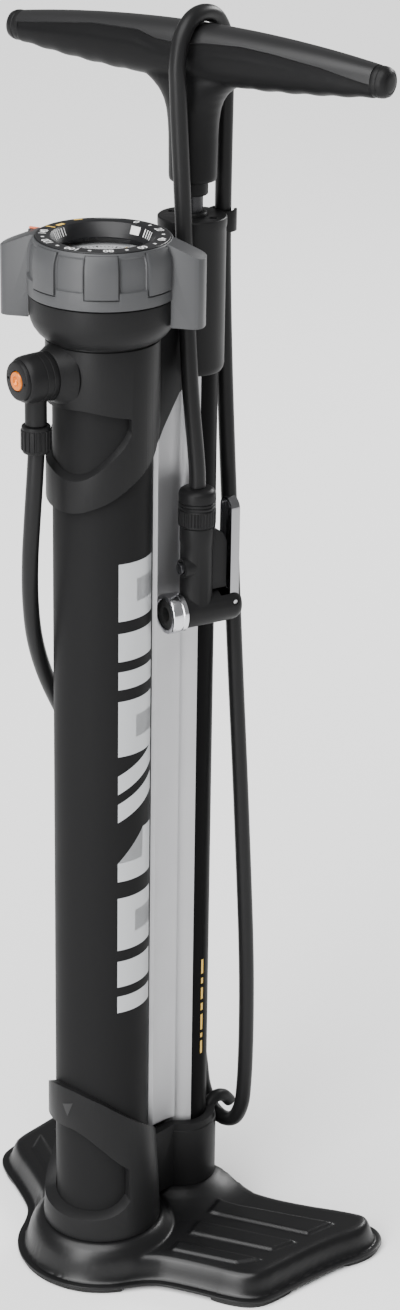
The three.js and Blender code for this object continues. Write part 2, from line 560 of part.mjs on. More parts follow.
// ---- pump head ----
const headAlong = new THREE.Vector3(...polar(1, HEAD_ANGLE), 0); // from the valve face to the lever
const headAcross = new THREE.Vector3(headAlong.y, -headAlong.x, 0); // towards the lever pin's visible end
const headPoint = (along, across, up) => HEAD.clone().addScaledVector(headAlong, along)
  .addScaledVector(headAcross, across).add(new THREE.Vector3(0, 0, up)).toArray();
const FACE = -21.2; // valve face along the cross barrel
const PIVOT_ALONG = 21.6;
const PIVOT_UP = 3;
const LEVER_HALF = 6.6;

function addHead() {
  const along = headAlong.toArray();
  const cross = (profile, sides) => turned(profile, sides, HEAD.toArray(), along);
  const crossBarrel = cross([[0, FACE + 10.5], [HEAD_BARREL_R, FACE + 10.5], [HEAD_BARREL_R, 24.5], [8.5, 27], [0, 27]],
    MEDIUM);
  const body = disc(10, HEAD.z, 481, MEDIUM, HEAD.x, HEAD.y);
  const buttonHole = bar(headPoint(-2, 3, 28), headPoint(-20, 3, 28), 3.6, SMALL);
  const buttonBoss = bar(headPoint(-2, 3, 28), headPoint(-11.5, 3, 28), 5.6, SMALL);
  const slot = box([21, 2 * LEVER_HALF + 0.8, 30], headPoint(23.5, 0, 8), HEAD_ANGLE);
  const pinHole = bar(headPoint(PIVOT_ALONG, -14, PIVOT_UP), headPoint(PIVOT_ALONG, 14, PIVOT_UP), 1.8, TINY);
  const bore = cross([[0, FACE - 1], [6, FACE - 1], [6, 12], [0, 12]], SMALL);
  const stemSlot = cross([[0, 11], [3.3, 11], [3.3, 16], [0, 16]], TINY);
  add('head_body', cut(join(crossBarrel, body, buttonBoss), buttonHole, slot, pinHole, bore, stemSlot), blackPlastic);
  add('head_ring', cross([[9, FACE + 10.2], [11.9, FACE + 10.2], [11.9, FACE + 0.6], [11.3, FACE], [9, FACE],
    [9, FACE + 10.2]], MEDIUM), steel);
  add('head_gasket', cross([[4.2, FACE + 9.8], [8.7, FACE + 9.8], [8.7, FACE + 0.4], [4.2, FACE + 0.4],
    [4.2, FACE + 9.8]], SMALL), rubber);
  add('chuck_plunger', join(cross([[3.4, -8], [5.6, -8], [5.6, 0], [3.4, 0], [3.4, -8]], SMALL),
    cross([[0, -1], [5.6, -1], [5.6, 8], [0, 8]], SMALL), cross([[0, 7], [3, 7], [3, 12.6], [0, 12.6]], TINY)), brass);
  add('release_button', bar(headPoint(-9.4, 3, 28), headPoint(-13.6, 3, 28), 3.3, SMALL), darkSteel);
  add('lever_pin', bar(headPoint(PIVOT_ALONG, -9.2, PIVOT_UP), headPoint(PIVOT_ALONG, 9.2, PIVOT_UP), 1.5, TINY), steel);
  add('head_nut', turned([[0, 481.3], [11, 481.3], [11, 493], [10.2, 493.4], [10.2, 494.4], [11, 494.8], [11, 501],
    [9.6, 504], [0, 504]], SMALL, [HEAD.x, HEAD.y, 0]), blackPlastic);
  add('head_lever', lever(), steel);
}

function lever() {
  const round = (radius, lift, from, to) => arc(radius, from, to, 8).map(([across, up]) => [across, up + lift]);
  const outline = (half) => [[-half, -4], [half, -4], ...round(half, 59, 0, 180)];
  const plate = uprightPlate(outline(LEVER_HALF), 5.7, HEAD_ANGLE - 90, headPoint(22.2, 0, 0));
  const pocket = uprightPlate([[-5.4, 10], [5.4, 10], ...round(5.4, 59, 0, 180)], 5, HEAD_ANGLE - 90,
    headPoint(20.6, 0, 0));
  const pinHole = bar(headPoint(PIVOT_ALONG, -12, PIVOT_UP), headPoint(PIVOT_ALONG, 12, PIVOT_UP), 1.8, TINY);
  return cut(plate, pocket, pinHole);
}

// ---- hose ----
// Hand-placed route from the elbow nut, round the left of the tank, behind the barrel, through the hook and up.
const HOSE_LOWER = [
  [-7.7, -43.8, 539.5], [-8.2, -44.6, 524], [-10.5, -44.6, 500], [-15.5, -42, 472], [-22, -36, 444],
  [-29, -26.5, 416], [-35, -13, 388], [-38.5, 3, 360], [-39.5, 20, 330], [-38.5, 37, 298], [-35.5, 54, 264],
  [-31, 70, 228], [-25.5, 84, 190], [-19.5, 94, 152], [-15.5, 98.5, 116], [-12, 100, 88], [-9, 100.3, 71],
  [-2, 100.5, 59], [8, 100.5, 55], [18, 100.3, 59], [24.5, 100, 71], [27.3, 99.5, 90], [29, 98.5, 125], [29.3, 97.5, 165],
  [27.5, 96.5, 215], [24.2, 95.6, 275], [20, 95, 335], [15.5, 94.8, 395], [11, 94.8, 455], [6.8, 94.8, 515],
  [3.2, 94.8, 570], [1, 94.8, 610], [0.4, 94.8, 640],
];
const HOSE_ARCH = [
  [0.4, 94.8, 640], [0.2, 94.8, 665], [0.2, 94.9, 700], [0.3, 95, 730], [0.6, 94.6, 748], [1.5, 90.5, 762],
  [3.2, 81.5, 769.5], [5, 71, 771], [6.8, 60, 769], [8.4, 51, 761], [9.6, 47, 747], [10.4, 47, 730],
  [11.2, 48.2, 700], [13.2, 49, 665], [14.8, 49.2, 640],
];
const HOSE_DROP = [
  [14.8, 49.2, 640], [17, 49.4, 600], [19.6, 50, 565], [22.6, 50.9, 535], [24.6, 51.4, 515], [25, 51.5, 504.3],
];

// The stretch of a route between its two ends, drawn back by a gap at each.
function hosePiece(route) {
  const points = route.map((p) => new THREE.Vector3(...p));
  const trimmed = [...points];
  const pull = (end, next) => end.clone().add(next.clone().sub(end).setLength(GAP / 2));
  trimmed[0] = pull(points[0], points[1]);
  trimmed[points.length - 1] = pull(points.at(-1), points.at(-2));
  return swept(trimmed.map((p) => p.toArray()), HOSE_R, 8, 24);
}

function addHose() {
  add('hose_lower', hosePiece(HOSE_LOWER), rubber);
  add('hose_arch', hosePiece(HOSE_ARCH), rubber);
  add('hose_drop', hosePiece(HOSE_DROP), rubber);
}

addBase();
add('foot_column', footColumn(), blackPlastic);
addTankAndBarrel();
addHousingAndCap();
addGauge();
addElbow();
addPlunger();
addHead();
addHose();

export default pump;
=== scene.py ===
"""The floor bike pump's looks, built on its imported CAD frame.

Shapes are written in millimetres about the tank's axis, as in the CAD source, and moved to the row frame.
"""

import json
import math
from contextlib import contextmanager

import bmesh
import bpy
import numpy as np
from mathutils import Matrix, Vector


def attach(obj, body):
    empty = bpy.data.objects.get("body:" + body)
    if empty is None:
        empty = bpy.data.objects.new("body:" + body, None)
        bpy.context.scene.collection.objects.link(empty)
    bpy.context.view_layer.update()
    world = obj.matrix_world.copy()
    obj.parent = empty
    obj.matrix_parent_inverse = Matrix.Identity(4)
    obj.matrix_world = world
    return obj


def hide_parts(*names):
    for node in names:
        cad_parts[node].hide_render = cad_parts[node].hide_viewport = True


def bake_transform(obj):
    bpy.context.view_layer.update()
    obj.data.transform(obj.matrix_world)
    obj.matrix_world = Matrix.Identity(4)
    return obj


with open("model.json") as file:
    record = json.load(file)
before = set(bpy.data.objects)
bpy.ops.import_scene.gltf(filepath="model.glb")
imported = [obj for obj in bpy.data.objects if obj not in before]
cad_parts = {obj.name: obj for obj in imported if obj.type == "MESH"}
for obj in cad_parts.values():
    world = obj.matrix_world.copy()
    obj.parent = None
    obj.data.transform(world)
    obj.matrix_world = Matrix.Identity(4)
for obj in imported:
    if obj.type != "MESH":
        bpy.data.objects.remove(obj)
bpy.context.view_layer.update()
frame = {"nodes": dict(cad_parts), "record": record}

# ---- driving dimensions, in millimetres ----
FOOTPRINT_MIDDLE_Y = 37.53  # from the tank's axis
TANK_R = 28.5
TANK_BOTTOM, TANK_TOP = 37.6, 600
BARREL_Y, BARREL_R, BORE_R = 70, 16, 13.5
BARREL_BOTTOM, BARREL_TOP = 52, 648
AT_BARREL = (0, BARREL_Y, 0)
COLUMN_BOTTOM = 27.3
SOCKET_R, SOCKET_TOP = 22.4, 72
HOOK_X = 8
NECK_R, COLLAR_R = 32.3, 41
CAP_R, CAP_BOTTOM, CAP_TOP = 19.8, 566, 656
CLIP_Y = BARREL_Y + 24.8
GAUGE_TOP, BEZEL_R = 657, 42
TAB_ANGLE, TAB_REACH = 31.5, 58
NEEDLE_ANGLE = 95
ROD_R = 6
HANDLE_Z, HANDLE_ANGLE, HANDLE_HALF = 747.5, 9.3, 119
ELBOW_ANGLE, ELBOW_Z, ELBOW_REACH = 260, 583, 57
HEAD = Vector((25, 51.5, 429))
HEAD_ANGLE, HEAD_BARREL_R, FACE = 74.7, 10.5, -21.2
PIVOT_ALONG, PIVOT_UP, LEVER_HALF = 21.6, 3, 6.6
NUT_TOP = 504  # of the nut on the pump head
BUTTON_UP, BUTTON_ACROSS = 28, 3
HOSE_R = 4.8
GAP = 0.3
MM = 0.001


def row(point):
    """A point in millimetres about the tank's axis, in the row frame in metres."""
    return Vector((point[0], point[1] - FOOTPRINT_MIDDLE_Y, point[2])) * MM


def polar(radius, degrees):
    return radius * math.cos(math.radians(degrees)), radius * math.sin(math.radians(degrees))


def add_object(name, data):
    made = bpy.data.objects.new(name, data)
    bpy.context.scene.collection.objects.link(made)
    return made


@contextmanager
def editing(mesh):
    """A mesh opened as a bmesh, and written back."""
    work = bmesh.new()
    work.from_mesh(mesh)
    yield work
    work.to_mesh(mesh)
    work.free()


# ---- camera ----
CAMERA_LENS, CAMERA_SENSOR = 82.48, 36
CAMERA_PLACE = (1.15484, -1.15189, 1.08945)
CAMERA_TURN, CAMERA_DOWN, CAMERA_ROLL = 44.0, 23.0316, 0.84742


def add_camera():
    down, roll = math.radians(CAMERA_DOWN), math.radians(CAMERA_ROLL)
    right = Vector((1, 0, 0))
    ahead = Vector((0, math.cos(down), -math.sin(down)))
    up = Vector((0, math.sin(down), math.cos(down)))
    across = right * math.cos(roll) + up * math.sin(roll)
    upward = up * math.cos(roll) - right * math.sin(roll)
    turn = Matrix.Rotation(math.radians(CAMERA_TURN), 3, "Z")
    axes = Matrix([turn @ across, turn @ upward, turn @ -ahead]).transposed()
    data = bpy.data.cameras.new("camera")
    data.lens, data.sensor_width, data.sensor_fit = CAMERA_LENS, CAMERA_SENSOR, "AUTO"
    data.clip_start, data.clip_end = 0.05, 50
    camera = add_object("camera", data)
    camera.matrix_world = Matrix.Translation(CAMERA_PLACE) @ axes.to_4x4()
    bpy.context.scene.camera = camera


# ---- materials ----
def fill(node, values):
    for socket, value in values.items():
        node.inputs[socket].default_value = value


def noise_of(tree, scale, stretch=(1, 1, 1)):
    where = tree.nodes.new("ShaderNodeTexCoord")
    place = tree.nodes.new("ShaderNodeMapping")
    fill(place, {"Scale": stretch})
    grain = tree.nodes.new("ShaderNodeTexNoise")
    fill(grain, {"Scale": scale, "Detail": 3})
    tree.links.new(where.outputs["Object"], place.inputs["Vector"])
    tree.links.new(place.outputs["Vector"], grain.inputs["Vector"])
    return grain.outputs["Fac"]


GLOSS_SCALE = 35  # of the slow changes of gloss
RELIEF_DEPTH = 0.0003


def grained(name, colour, roughness, metallic=0.0, scale=900, bump=0.15, spread=0.06,
            stretch=(1, 1, 1), sheen=0.5):
    """A surface with fine relief and small, soft changes of gloss."""
    made = bpy.data.materials.new(name)
    made.use_nodes = True
    tree = made.node_tree
    surface = tree.nodes["Principled BSDF"]
    fill(surface, {"Base Color": (*colour, 1), "Roughness": roughness, "Metallic": metallic,
                   "Specular IOR Level": sheen})
    relief = tree.nodes.new("ShaderNodeBump")
    fill(relief, {"Strength": bump, "Distance": RELIEF_DEPTH})
    tree.links.new(noise_of(tree, scale, stretch), relief.inputs["Height"])
    tree.links.new(relief.outputs["Normal"], surface.inputs["Normal"])
    gloss = tree.nodes.new("ShaderNodeMapRange")
    fill(gloss, {"To Min": roughness - spread, "To Max": roughness + spread})
    tree.links.new(noise_of(tree, GLOSS_SCALE), gloss.inputs["Value"])
    tree.links.new(gloss.outputs["Result"], surface.inputs["Roughness"])
    return made


def clear_lens(name):
    """Clear where it faces the eye, with a glint at its edges."""
    made = bpy.data.materials.new(name)
    made.use_nodes = True
    tree = made.node_tree
    tree.nodes.clear()
    through = tree.nodes.new("ShaderNodeBsdfTransparent")
    glint = tree.nodes.new("ShaderNodeBsdfGlossy")
    fill(glint, {"Roughness": 0.04})
    facing = tree.nodes.new("ShaderNodeLayerWeight")
    fill(facing, {"Blend": 0.06})
    both = tree.nodes.new("ShaderNodeMixShader")
    out = tree.nodes.new("ShaderNodeOutputMaterial")
    tree.links.new(facing.outputs["Facing"], both.inputs["Fac"])
    tree.links.new(through.outputs["BSDF"], both.inputs[1])
    tree.links.new(glint.outputs["BSDF"], both.inputs[2])
    tree.links.new(both.outputs["Shader"], out.inputs["Surface"])
    return made


LOOKS = {
    "steel_base": grained("base_coat", (0.004, 0.004, 0.0043), 0.34, scale=1400, bump=0.12, sheen=0.3),
    "black_rubber": grained("foot_rubber", (0.02, 0.02, 0.02), 0.75, scale=800, bump=0.3, sheen=0.2),
    "hose_rubber": grained("hose_rubber", (0.009, 0.009, 0.0093), 0.38, scale=1600, bump=0.12, sheen=0.15),
    "black_plastic": grained("black_plastic", (0.009, 0.009, 0.0093), 0.42, scale=1500, bump=0.16,
                             sheen=0.11),
    "tank_paint": grained("tank_paint", (0.011, 0.011, 0.0113), 0.45, scale=700, bump=0.05, sheen=0.03),
    "barrel_metal": grained("barrel_silver", (0.44, 0.44, 0.45), 0.46, 0.85, scale=1200, bump=0.12),
    "grey_plastic": grained("grey_plastic", (0.043, 0.044, 0.046), 0.46, scale=1300, bump=0.15, sheen=0.35),
    "dial_plastic": grained("dial_black", (0.008, 0.008, 0.009), 0.4, scale=1500, bump=0.08, sheen=0.3),
    "dial_face": grained("dial_grey", (0.55, 0.56, 0.57), 0.45, bump=0.04),
    "needle_paint": grained("needle_yellow", (0.75, 0.5, 0.08), 0.4, scale=500, bump=0.03),
    "orange_metal": grained("orange_anodised", (0.6, 0.15, 0.006), 0.32, 0.35, bump=0.05),
    "rod_steel": grained("rod_black", (0.02, 0.02, 0.022), 0.28, 0.5, bump=0.04, stretch=(1, 1, 0.05)),
    "chrome": grained("chrome", (0.68, 0.68, 0.7), 0.16, 1.0, scale=400, bump=0.03, spread=0.04),
    "bright_steel": grained("plain_steel", (0.55, 0.55, 0.56), 0.3, 1.0, bump=0.05),
    "brass": grained("brass", (0.55, 0.38, 0.14), 0.35, 1.0, bump=0.05),
    "handle_plastic": grained("handle_dark", (0.006, 0.006, 0.0063), 0.44, scale=1300, bump=0.18,
                              sheen=0.1),
    "lens": clear_lens("clear_lens"),
}
HANDLE_TOP_LOOK = grained("handle_grey", (0.012, 0.012, 0.0125), 0.4, scale=1300, bump=0.15, sheen=0.3)
PALE_PRINT = grained("pale_print", (0.42, 0.43, 0.44), 0.38, 0.4, scale=700, bump=0.05)
WHITE_PRINT = grained("white_print", (0.78, 0.78, 0.78), 0.5, scale=700, bump=0.03)
YELLOW_PRINT = grained("yellow_print", (0.75, 0.48, 0.08), 0.5, scale=700, bump=0.03)
LEVER_LOOK = grained("lever_chrome", (0.3, 0.3, 0.31), 0.2, 1.0, scale=400, bump=0.03, spread=0.04)
ORANGE_PRINT = grained("orange_print", (0.7, 0.16, 0.07), 0.5, scale=700, bump=0.03)
BARREL_BLACK = grained("barrel_black", (0.003, 0.003, 0.0032), 0.4, bump=0.06, sheen=0.03)


# ---- shape helpers ----
def piece(name, points, faces):
    """A mesh object from points in millimetres, with its faces turned outward."""
    mesh = bpy.data.meshes.new(name)
    mesh.from_pydata([row(p) for p in points], [], faces)
    with editing(mesh) as work:
        bmesh.ops.recalc_face_normals(work, faces=work.faces)
        if work.calc_volume(signed=True) < 0:
            bmesh.ops.reverse_faces(work, faces=work.faces)
    return add_object(name, mesh)


def turned(name, profile, sides=96, origin=(0, 0, 0), direction=(0, 0, 1), ripple=None):
    """[radius, height] points turned about a line; ripple(angle, radius, height) reshapes the radius."""
    looped = profile[0] == profile[-1]
    rings = profile[:-1] if looped else profile
    turn = Vector((0, 0, 1)).rotation_difference(Vector(direction).normalized())
    points, index = [], []
    for radius, height in rings:
        if radius < 1e-6:
            index.append([len(points)] * sides)
            points.append(turn @ Vector((0, 0, height)) + Vector(origin))
            continue
        index.append(list(range(len(points), len(points) + sides)))
        for i in range(sides):
            angle = 360 * i / sides
            reach = ripple(angle, radius, height) if ripple else radius
            points.append(turn @ Vector((*polar(reach, angle), height)) + Vector(origin))
    faces = []
    for k in range(len(index) if looped else len(index) - 1):
        low, high = index[k], index[(k + 1) % len(index)]
        for i in range(sides):
            j = (i + 1) % sides
            corners = list(dict.fromkeys([low[i], low[j], high[j], high[i]]))
            if len(corners) > 2:
                faces.append(corners)
    if not looped:
        faces += [ends for ends in (index[0][::-1], index[-1]) if len(set(ends)) > 1]
    return piece(name, points, faces)


def disc(name, radius, low, high, sides=64, x=0, y=0):
    return turned(name, [[0, low], [radius, low], [radius, high], [0, high]], sides, (x, y, 0))


def bar(name, start, end, radius, sides=32):
    along = Vector(end) - Vector(start)
    profile = [[0, 0], [radius, 0], [radius, along.length], [0, along.length]]
    return turned(name, profile, sides, start, along)


def loft(name, rings, closed=False):
    """Rings joined side to side, with a face at each end unless the loft is closed."""
    count = len(rings[0])
    faces = []
    for k in range(len(rings) if closed else len(rings) - 1):
        low, high = k * count, (k + 1) % len(rings) * count
        faces += [[low + i, low + (i + 1) % count, high + (i + 1) % count, high + i] for i in range(count)]
    if not closed:
        last = (len(rings) - 1) * count
        faces += [list(range(count))[::-1], list(range(last, last + count))]
    return piece(name, [p for ring in rings for p in ring], faces)


def prism(name, outline, low, high):
    return loft(name, [[(x, y, z) for x, y in outline] for z in (low, high)])


def block(name, size, centre, degrees=0):
    turn = Matrix.Rotation(math.radians(degrees), 3, "Z")
    half = Vector(size) / 2
    corners = [(-half.x, -half.y), (half.x, -half.y), (half.x, half.y), (-half.x, half.y)]
    return loft(name, [[turn @ Vector((x, y, z)) + Vector(centre) for x, y in corners]
                       for z in (-half.z, half.z)])


def plate(name, outline, thickness, degrees, origin=(0, 0, 0)):
    """An upright outline of [along, height] points, thickened across, in the plane turned by degrees."""
    along, across = Vector((*polar(1, degrees), 0)), Vector((*polar(1, degrees + 90), 0))
    rings = []
    for side in (-1, 1):
        out = across * (side * thickness / 2)
        rings.append([Vector(origin) + along * s + Vector((0, 0, z)) + out for s, z in outline])
    return loft(name, rings)


def arc(radius, start, end, steps, x=0, y=0):
    spots = [polar(radius, start + (end - start) * i / steps) for i in range(steps + 1)]
    return [(x + across, y + along) for across, along in spots]


def mirrored(half):
    """An outline of points right of x = 0, with its left side added."""
    return half + [(-x, y) for x, y in reversed(half) if x > 1e-6]


def smooth_line(points, per):
    """A Catmull-Rom line through points, spaced by chord length, with per steps between them."""
    line = [Vector(p) for p in points]
    line = [2 * line[0] - line[1], *line, 2 * line[-1] - line[-2]]
    found = []
    for p0, p1, p2, p3 in zip(line, line[1:], line[2:], line[3:]):
        t1, t2, t3 = ((b - a).length ** 0.5 for a, b in ((p0, p1), (p1, p2), (p2, p3)))
        m1 = (p2 - p1) - (p2 - p0) * (t2 / (t1 + t2)) + (p1 - p0) * (t2 / t1)
        m2 = (p2 - p1) - (p3 - p1) * (t2 / (t2 + t3)) + (p3 - p2) * (t2 / t3)
        for i in range(per):
            t = i / per
            found.append((2 * t**3 - 3 * t**2 + 1) * p1 + (t**3 - 2 * t**2 + t) * m1
                         + (3 * t**2 - 2 * t**3) * p2 + (t**3 - t**2) * m2)
    return [*found, line[-2]]


def tube(name, path, radius, sides=24):
    """A round tube along a path, its section carried without twist."""
    ahead = [(after - before).normalized()
             for before, after in zip([path[0], *path], [*path[1:], path[-1]])]
    circle = [polar(radius, 360 * i / sides) for i in range(sides)]
    side = ahead[0].orthogonal().normalized()
    rings = []
    for k, (centre, way) in enumerate(zip(path, ahead)):
        if k:
            side = ahead[k - 1].rotation_difference(way) @ side
        other = way.cross(side)
        rings.append([centre + side * a + other * b for a, b in circle])
    return loft(name, rings)


def band(name, stations, inner, outer, fall=0.0):
    """A band about the tank of [angle, low, high] stations, joined smoothly; its floor falls outward."""
    whole = stations[-1][0] - stations[0][0] == 360
    rings = []
    for angle, low, high in smooth_line(stations, 5):
        near, far = polar(inner, angle), polar(outer, angle)
        rings.append([(*near, low + fall / 2), (*far, low - fall / 2), (*far, high), (*near, high)])
    return loft(name, rings[:-1] if whole else rings, closed=whole)


def bake(obj):
    """Turns an object's modifiers into its mesh."""
    graph = bpy.context.evaluated_depsgraph_get()
    mesh = bpy.data.meshes.new_from_object(obj.evaluated_get(graph))
    old = obj.data
    obj.modifiers.clear()
    obj.data = mesh
    bpy.data.meshes.remove(old)
    return obj


def combine(obj, tools, operation):
    for tool in tools:
        step = obj.modifiers.new("step", "BOOLEAN")
        step.operation, step.object, step.solver = operation, tool, "MANIFOLD"
    bake(obj).data.materials.clear()
    for tool in tools:
        bpy.data.objects.remove(tool)
    return obj


def cut(obj, *tools):
    return combine(obj, tools, "DIFFERENCE")


def fuse(obj, *tools):
    return combine(obj, tools, "UNION")


def common(obj, *tools):
    return combine(obj, tools, "INTERSECT")


def object_from(name, work):
    mesh = bpy.data.meshes.new(name)
    work.to_mesh(mesh)
    work.free()
    return add_object(name, mesh)


def gather(name, parts):
    """One object from several that don't need cutting."""
    work = bmesh.new()
    for part in parts:
        work.from_mesh(part.data)
        bpy.data.objects.remove(part)
    return object_from(name, work)


def clean(obj):
    """Merges points that lie together and faces that lie flat side by side."""
    with editing(obj.data) as work:
        bmesh.ops.remove_doubles(work, verts=work.verts, dist=2e-6)
        bmesh.ops.dissolve_limit(work, angle_limit=math.radians(0.6), verts=work.verts, edges=work.edges)


SMOOTH_BELOW = 40  # degrees between faces


def dress(obj, body, slot, *nodes, look=None, bevel=0.0, sharp=32):
    """Rounds an object's edges, shades it, gives it its look and body, and hides the CAD parts it stands for.
    """
    if bevel:
        clean(obj)
        edges = obj.modifiers.new("edges", "BEVEL")
        edges.width, edges.segments = bevel * MM, 3
        edges.limit_method, edges.angle_limit = "ANGLE", math.radians(sharp)
        edges.use_clamp_overlap = True
        bake(obj)
    obj.data.shade_smooth()
    obj.data.set_sharp_from_angle(angle=math.radians(SMOOTH_BELOW))
    if not obj.data.materials:
        obj.data.materials.append(look or LOOKS[slot])
    if body:
        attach(obj, body)
    if nodes:
        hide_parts(*nodes)
    return obj


# ---- hose ----
# From the elbow nut, round the tank's left, behind the barrel, through the hook, over the handle, to the head
HOSE_ROUTE = [
    (-7.7, -43.8, 539.4), (-8.2, -44.6, 524), (-10.5, -44.6, 500), (-15.5, -42, 472), (-22, -36, 444),
    (-29, -26.5, 416), (-35, -13, 388), (-38.5, 3, 360), (-39.5, 20, 330), (-38.5, 37, 298),
    (-35.5, 54, 264), (-31, 70, 228), (-25.5, 84, 190), (-19.5, 94, 152), (-15.5, 98.5, 116),
    (-12, 100, 88), (-9, 100.3, 71), (-2, 100.5, 59), (8, 100.5, 55), (18, 100.3, 59), (24.5, 100, 71),
    (27.3, 99.5, 90), (29.3, 97.5, 165), (24.2, 95.6, 275), (15.5, 94.8, 395), (3.2, 94.8, 570),
    (0.4, 94.8, 640), (0.3, 95, 730), (0.6, 94.4, 746), (1.5, 90.4, 758.5), (3.2, 82.3, 766.8),
    (5, 71, 769.9), (6.8, 60, 767.6), (8.4, 51.4, 759.4), (9.6, 47.2, 746), (10.4, 47, 730),
    (13.2, 49, 665), (19.6, 50, 565), (24.6, 51.4, 515), (25, 51.5, 504.3),
]


def add_hose():
    path = smooth_line(HOSE_ROUTE, 10)
    hose = tube("hose", path, HOSE_R, 28)
    dress(hose, None, "hose_rubber", "hose_lower", "hose_arch", "hose_drop")
    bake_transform(hose)
    return hose, path


# ---- base ----
BASE_HALF = [
    *arc(53.5, -90, -24, 7), (55, -13), (62, -7), (83, 2.5), (103, 10), (114, 17.5), (119.5, 28), (121, 52),
    (124.5, 86), (130, 104), (130, 116), (125, 127), (115, 133), (104, 132), (62, 108), (36, 100), (0, 99),
]
BASE_OUTLINE = mirrored(BASE_HALF)
FLANGE_Z, FLANGE_TOP, WING_TOP = 3, 5, 19
SHELL_THICK, SHELL_TOP, GRID_CELL = 1.6, 27, 1.1
TREAD_RISE = 1.7
TREADS = [
    [(54, 8), (92, 26), (100, 40), (51, 17)],
    [(49, 29), (98, 52), (102, 69), (44, 42)],
    [(42, 54), (102, 81), (105, 101), (38, 67)],
]


def rounded(outline):
    """Chaikin's corner cutting, twice, on a closed outline."""
    for _ in range(2):
        sides = list(zip(outline, outline[1:] + outline[:1]))
        outline = [(x * (1 - share) + nx * share, y * (1 - share) + ny * share)
                   for (x, y), (nx, ny) in sides for share in (0.25, 0.75)]
    return outline


def inset(outline, distance):
    """A closed outline moved inward."""
    moved = []
    for i, point in enumerate(outline):
        before, after = outline[i - 1], outline[(i + 1) % len(outline)]
        way_in = (Vector(point) - Vector(before)).normalized()
        way_out = (Vector(after) - Vector(point)).normalized()
        normal = Vector((-(way_in.y + way_out.y), way_in.x + way_out.x)).normalized()
        reach = distance / max(0.5, normal.dot(Vector((-way_in.y, way_in.x))))
        moved.append((point[0] + normal.x * reach, point[1] + normal.y * reach))
    return moved


def depth_inside(xs, ys, outline):
    """How far each point lies inside a closed outline; outside it is negative."""
    nearest = np.full(xs.shape, 1e9)
    inside = np.zeros(xs.shape, bool)
    for (ax, ay), (bx, by) in zip(outline, outline[1:] + outline[:1]):
        dx, dy = bx - ax, by - ay
        along = np.clip(((xs - ax) * dx + (ys - ay) * dy) / (dx * dx + dy * dy), 0, 1)
        nearest = np.minimum(nearest, np.hypot(xs - ax - along * dx, ys - ay - along * dy))
        crossed = ((ay > ys) != (by > ys)) & (xs < ax + (ys - ay) * dx / (dy if dy else 1e-9))
        inside ^= crossed
    return np.where(inside, nearest, -nearest)


def soft_max(a, b, blend):
    share = np.clip(0.5 + 0.5 * (a - b) / blend, 0, 1)
    return b + (a - b) * share + blend * share * (1 - share)


def base_shell(outline):
    """The pressed plate: its height rises from the rim to the wings, the tank's dome and the treads."""
    xs, ys = np.meshgrid(np.arange(-131, 131.1, GRID_CELL), np.arange(-55, 135, GRID_CELL))
    inside = depth_inside(xs, ys, outline)
    wing = np.interp(inside, [4.2, 5.6, 8, 9.2, 11, 14], [FLANGE_TOP - 0.03, 6.8, 14.6, 17, 18.5, WING_TOP])
    from_tank = np.hypot(xs, ys)
    dome = np.interp(from_tank, [36, 38.5, 41.5, 44, 46, 47.4, 60], [27, 26.5, 24, 20, 14.5, 6, -40])
    from_barrel = np.hypot(xs, ys - BARREL_Y)
    boss = np.interp(from_barrel, [22, 25, 31, 38, 48, 60], [27, 26, 23, 20, 16, 4])
    boss = np.minimum(boss, np.interp(ys, [60, 92, 97, 99], [40, 27, 18, 4]))
    height = soft_max(soft_max(wing, dome, 4.5), np.minimum(boss, wing + 8), 5.0)
    height = np.minimum(height, np.interp(inside, [4.2, 5.6, 7.2, 9], [FLANGE_TOP - 0.03, 7.4, 13, 30]))
    for tread in TREADS:
        for side in (1, -1):
            strip = [(side * x, y) for x, y in tread]
            rise = np.clip(depth_inside(xs, ys, strip) / 2.2 + 0.5, 0, 1)
            height += TREAD_RISE * rise * rise * (3 - 2 * rise) * (inside > 12)
    keep = inside > 1.2
    numbers = np.full(xs.shape, -1)
    numbers[keep] = np.arange(keep.sum())
    points = np.stack([xs[keep], ys[keep], np.minimum(height[keep], SHELL_TOP)], 1)
    around = [numbers[:-1, :-1], numbers[:-1, 1:], numbers[1:, 1:], numbers[1:, :-1]]
    corners = np.stack(around, -1).reshape(-1, 4)
    shell = piece("base_shell", [tuple(p) for p in points], corners[(corners >= 0).all(1)].tolist())
    with editing(shell.data) as work:
        if sum(f.normal.z for f in work.faces) < 0:
            bmesh.ops.reverse_faces(work, faces=work.faces)
    thick = shell.modifiers.new("thick", "SOLIDIFY")
    thick.thickness, thick.offset = SHELL_THICK * MM, -1
    return bake(shell)


def base_flange(outline):
    """The flat rim all round the plate."""
    levels = [(0, FLANGE_Z + 0.4), (0.4, FLANGE_Z), (3.6, FLANGE_Z), (3.6, FLANGE_TOP), (0.8, FLANGE_TOP),
              (0.2, FLANGE_TOP - 0.3), (0, FLANGE_TOP - 0.8)]
    around = [inset(outline, distance) for distance, _ in levels]
    rings = [[(*around[k][i], z) for k, (_, z) in enumerate(levels)] for i in range(len(outline))]
    return loft("flange", rings, closed=True)


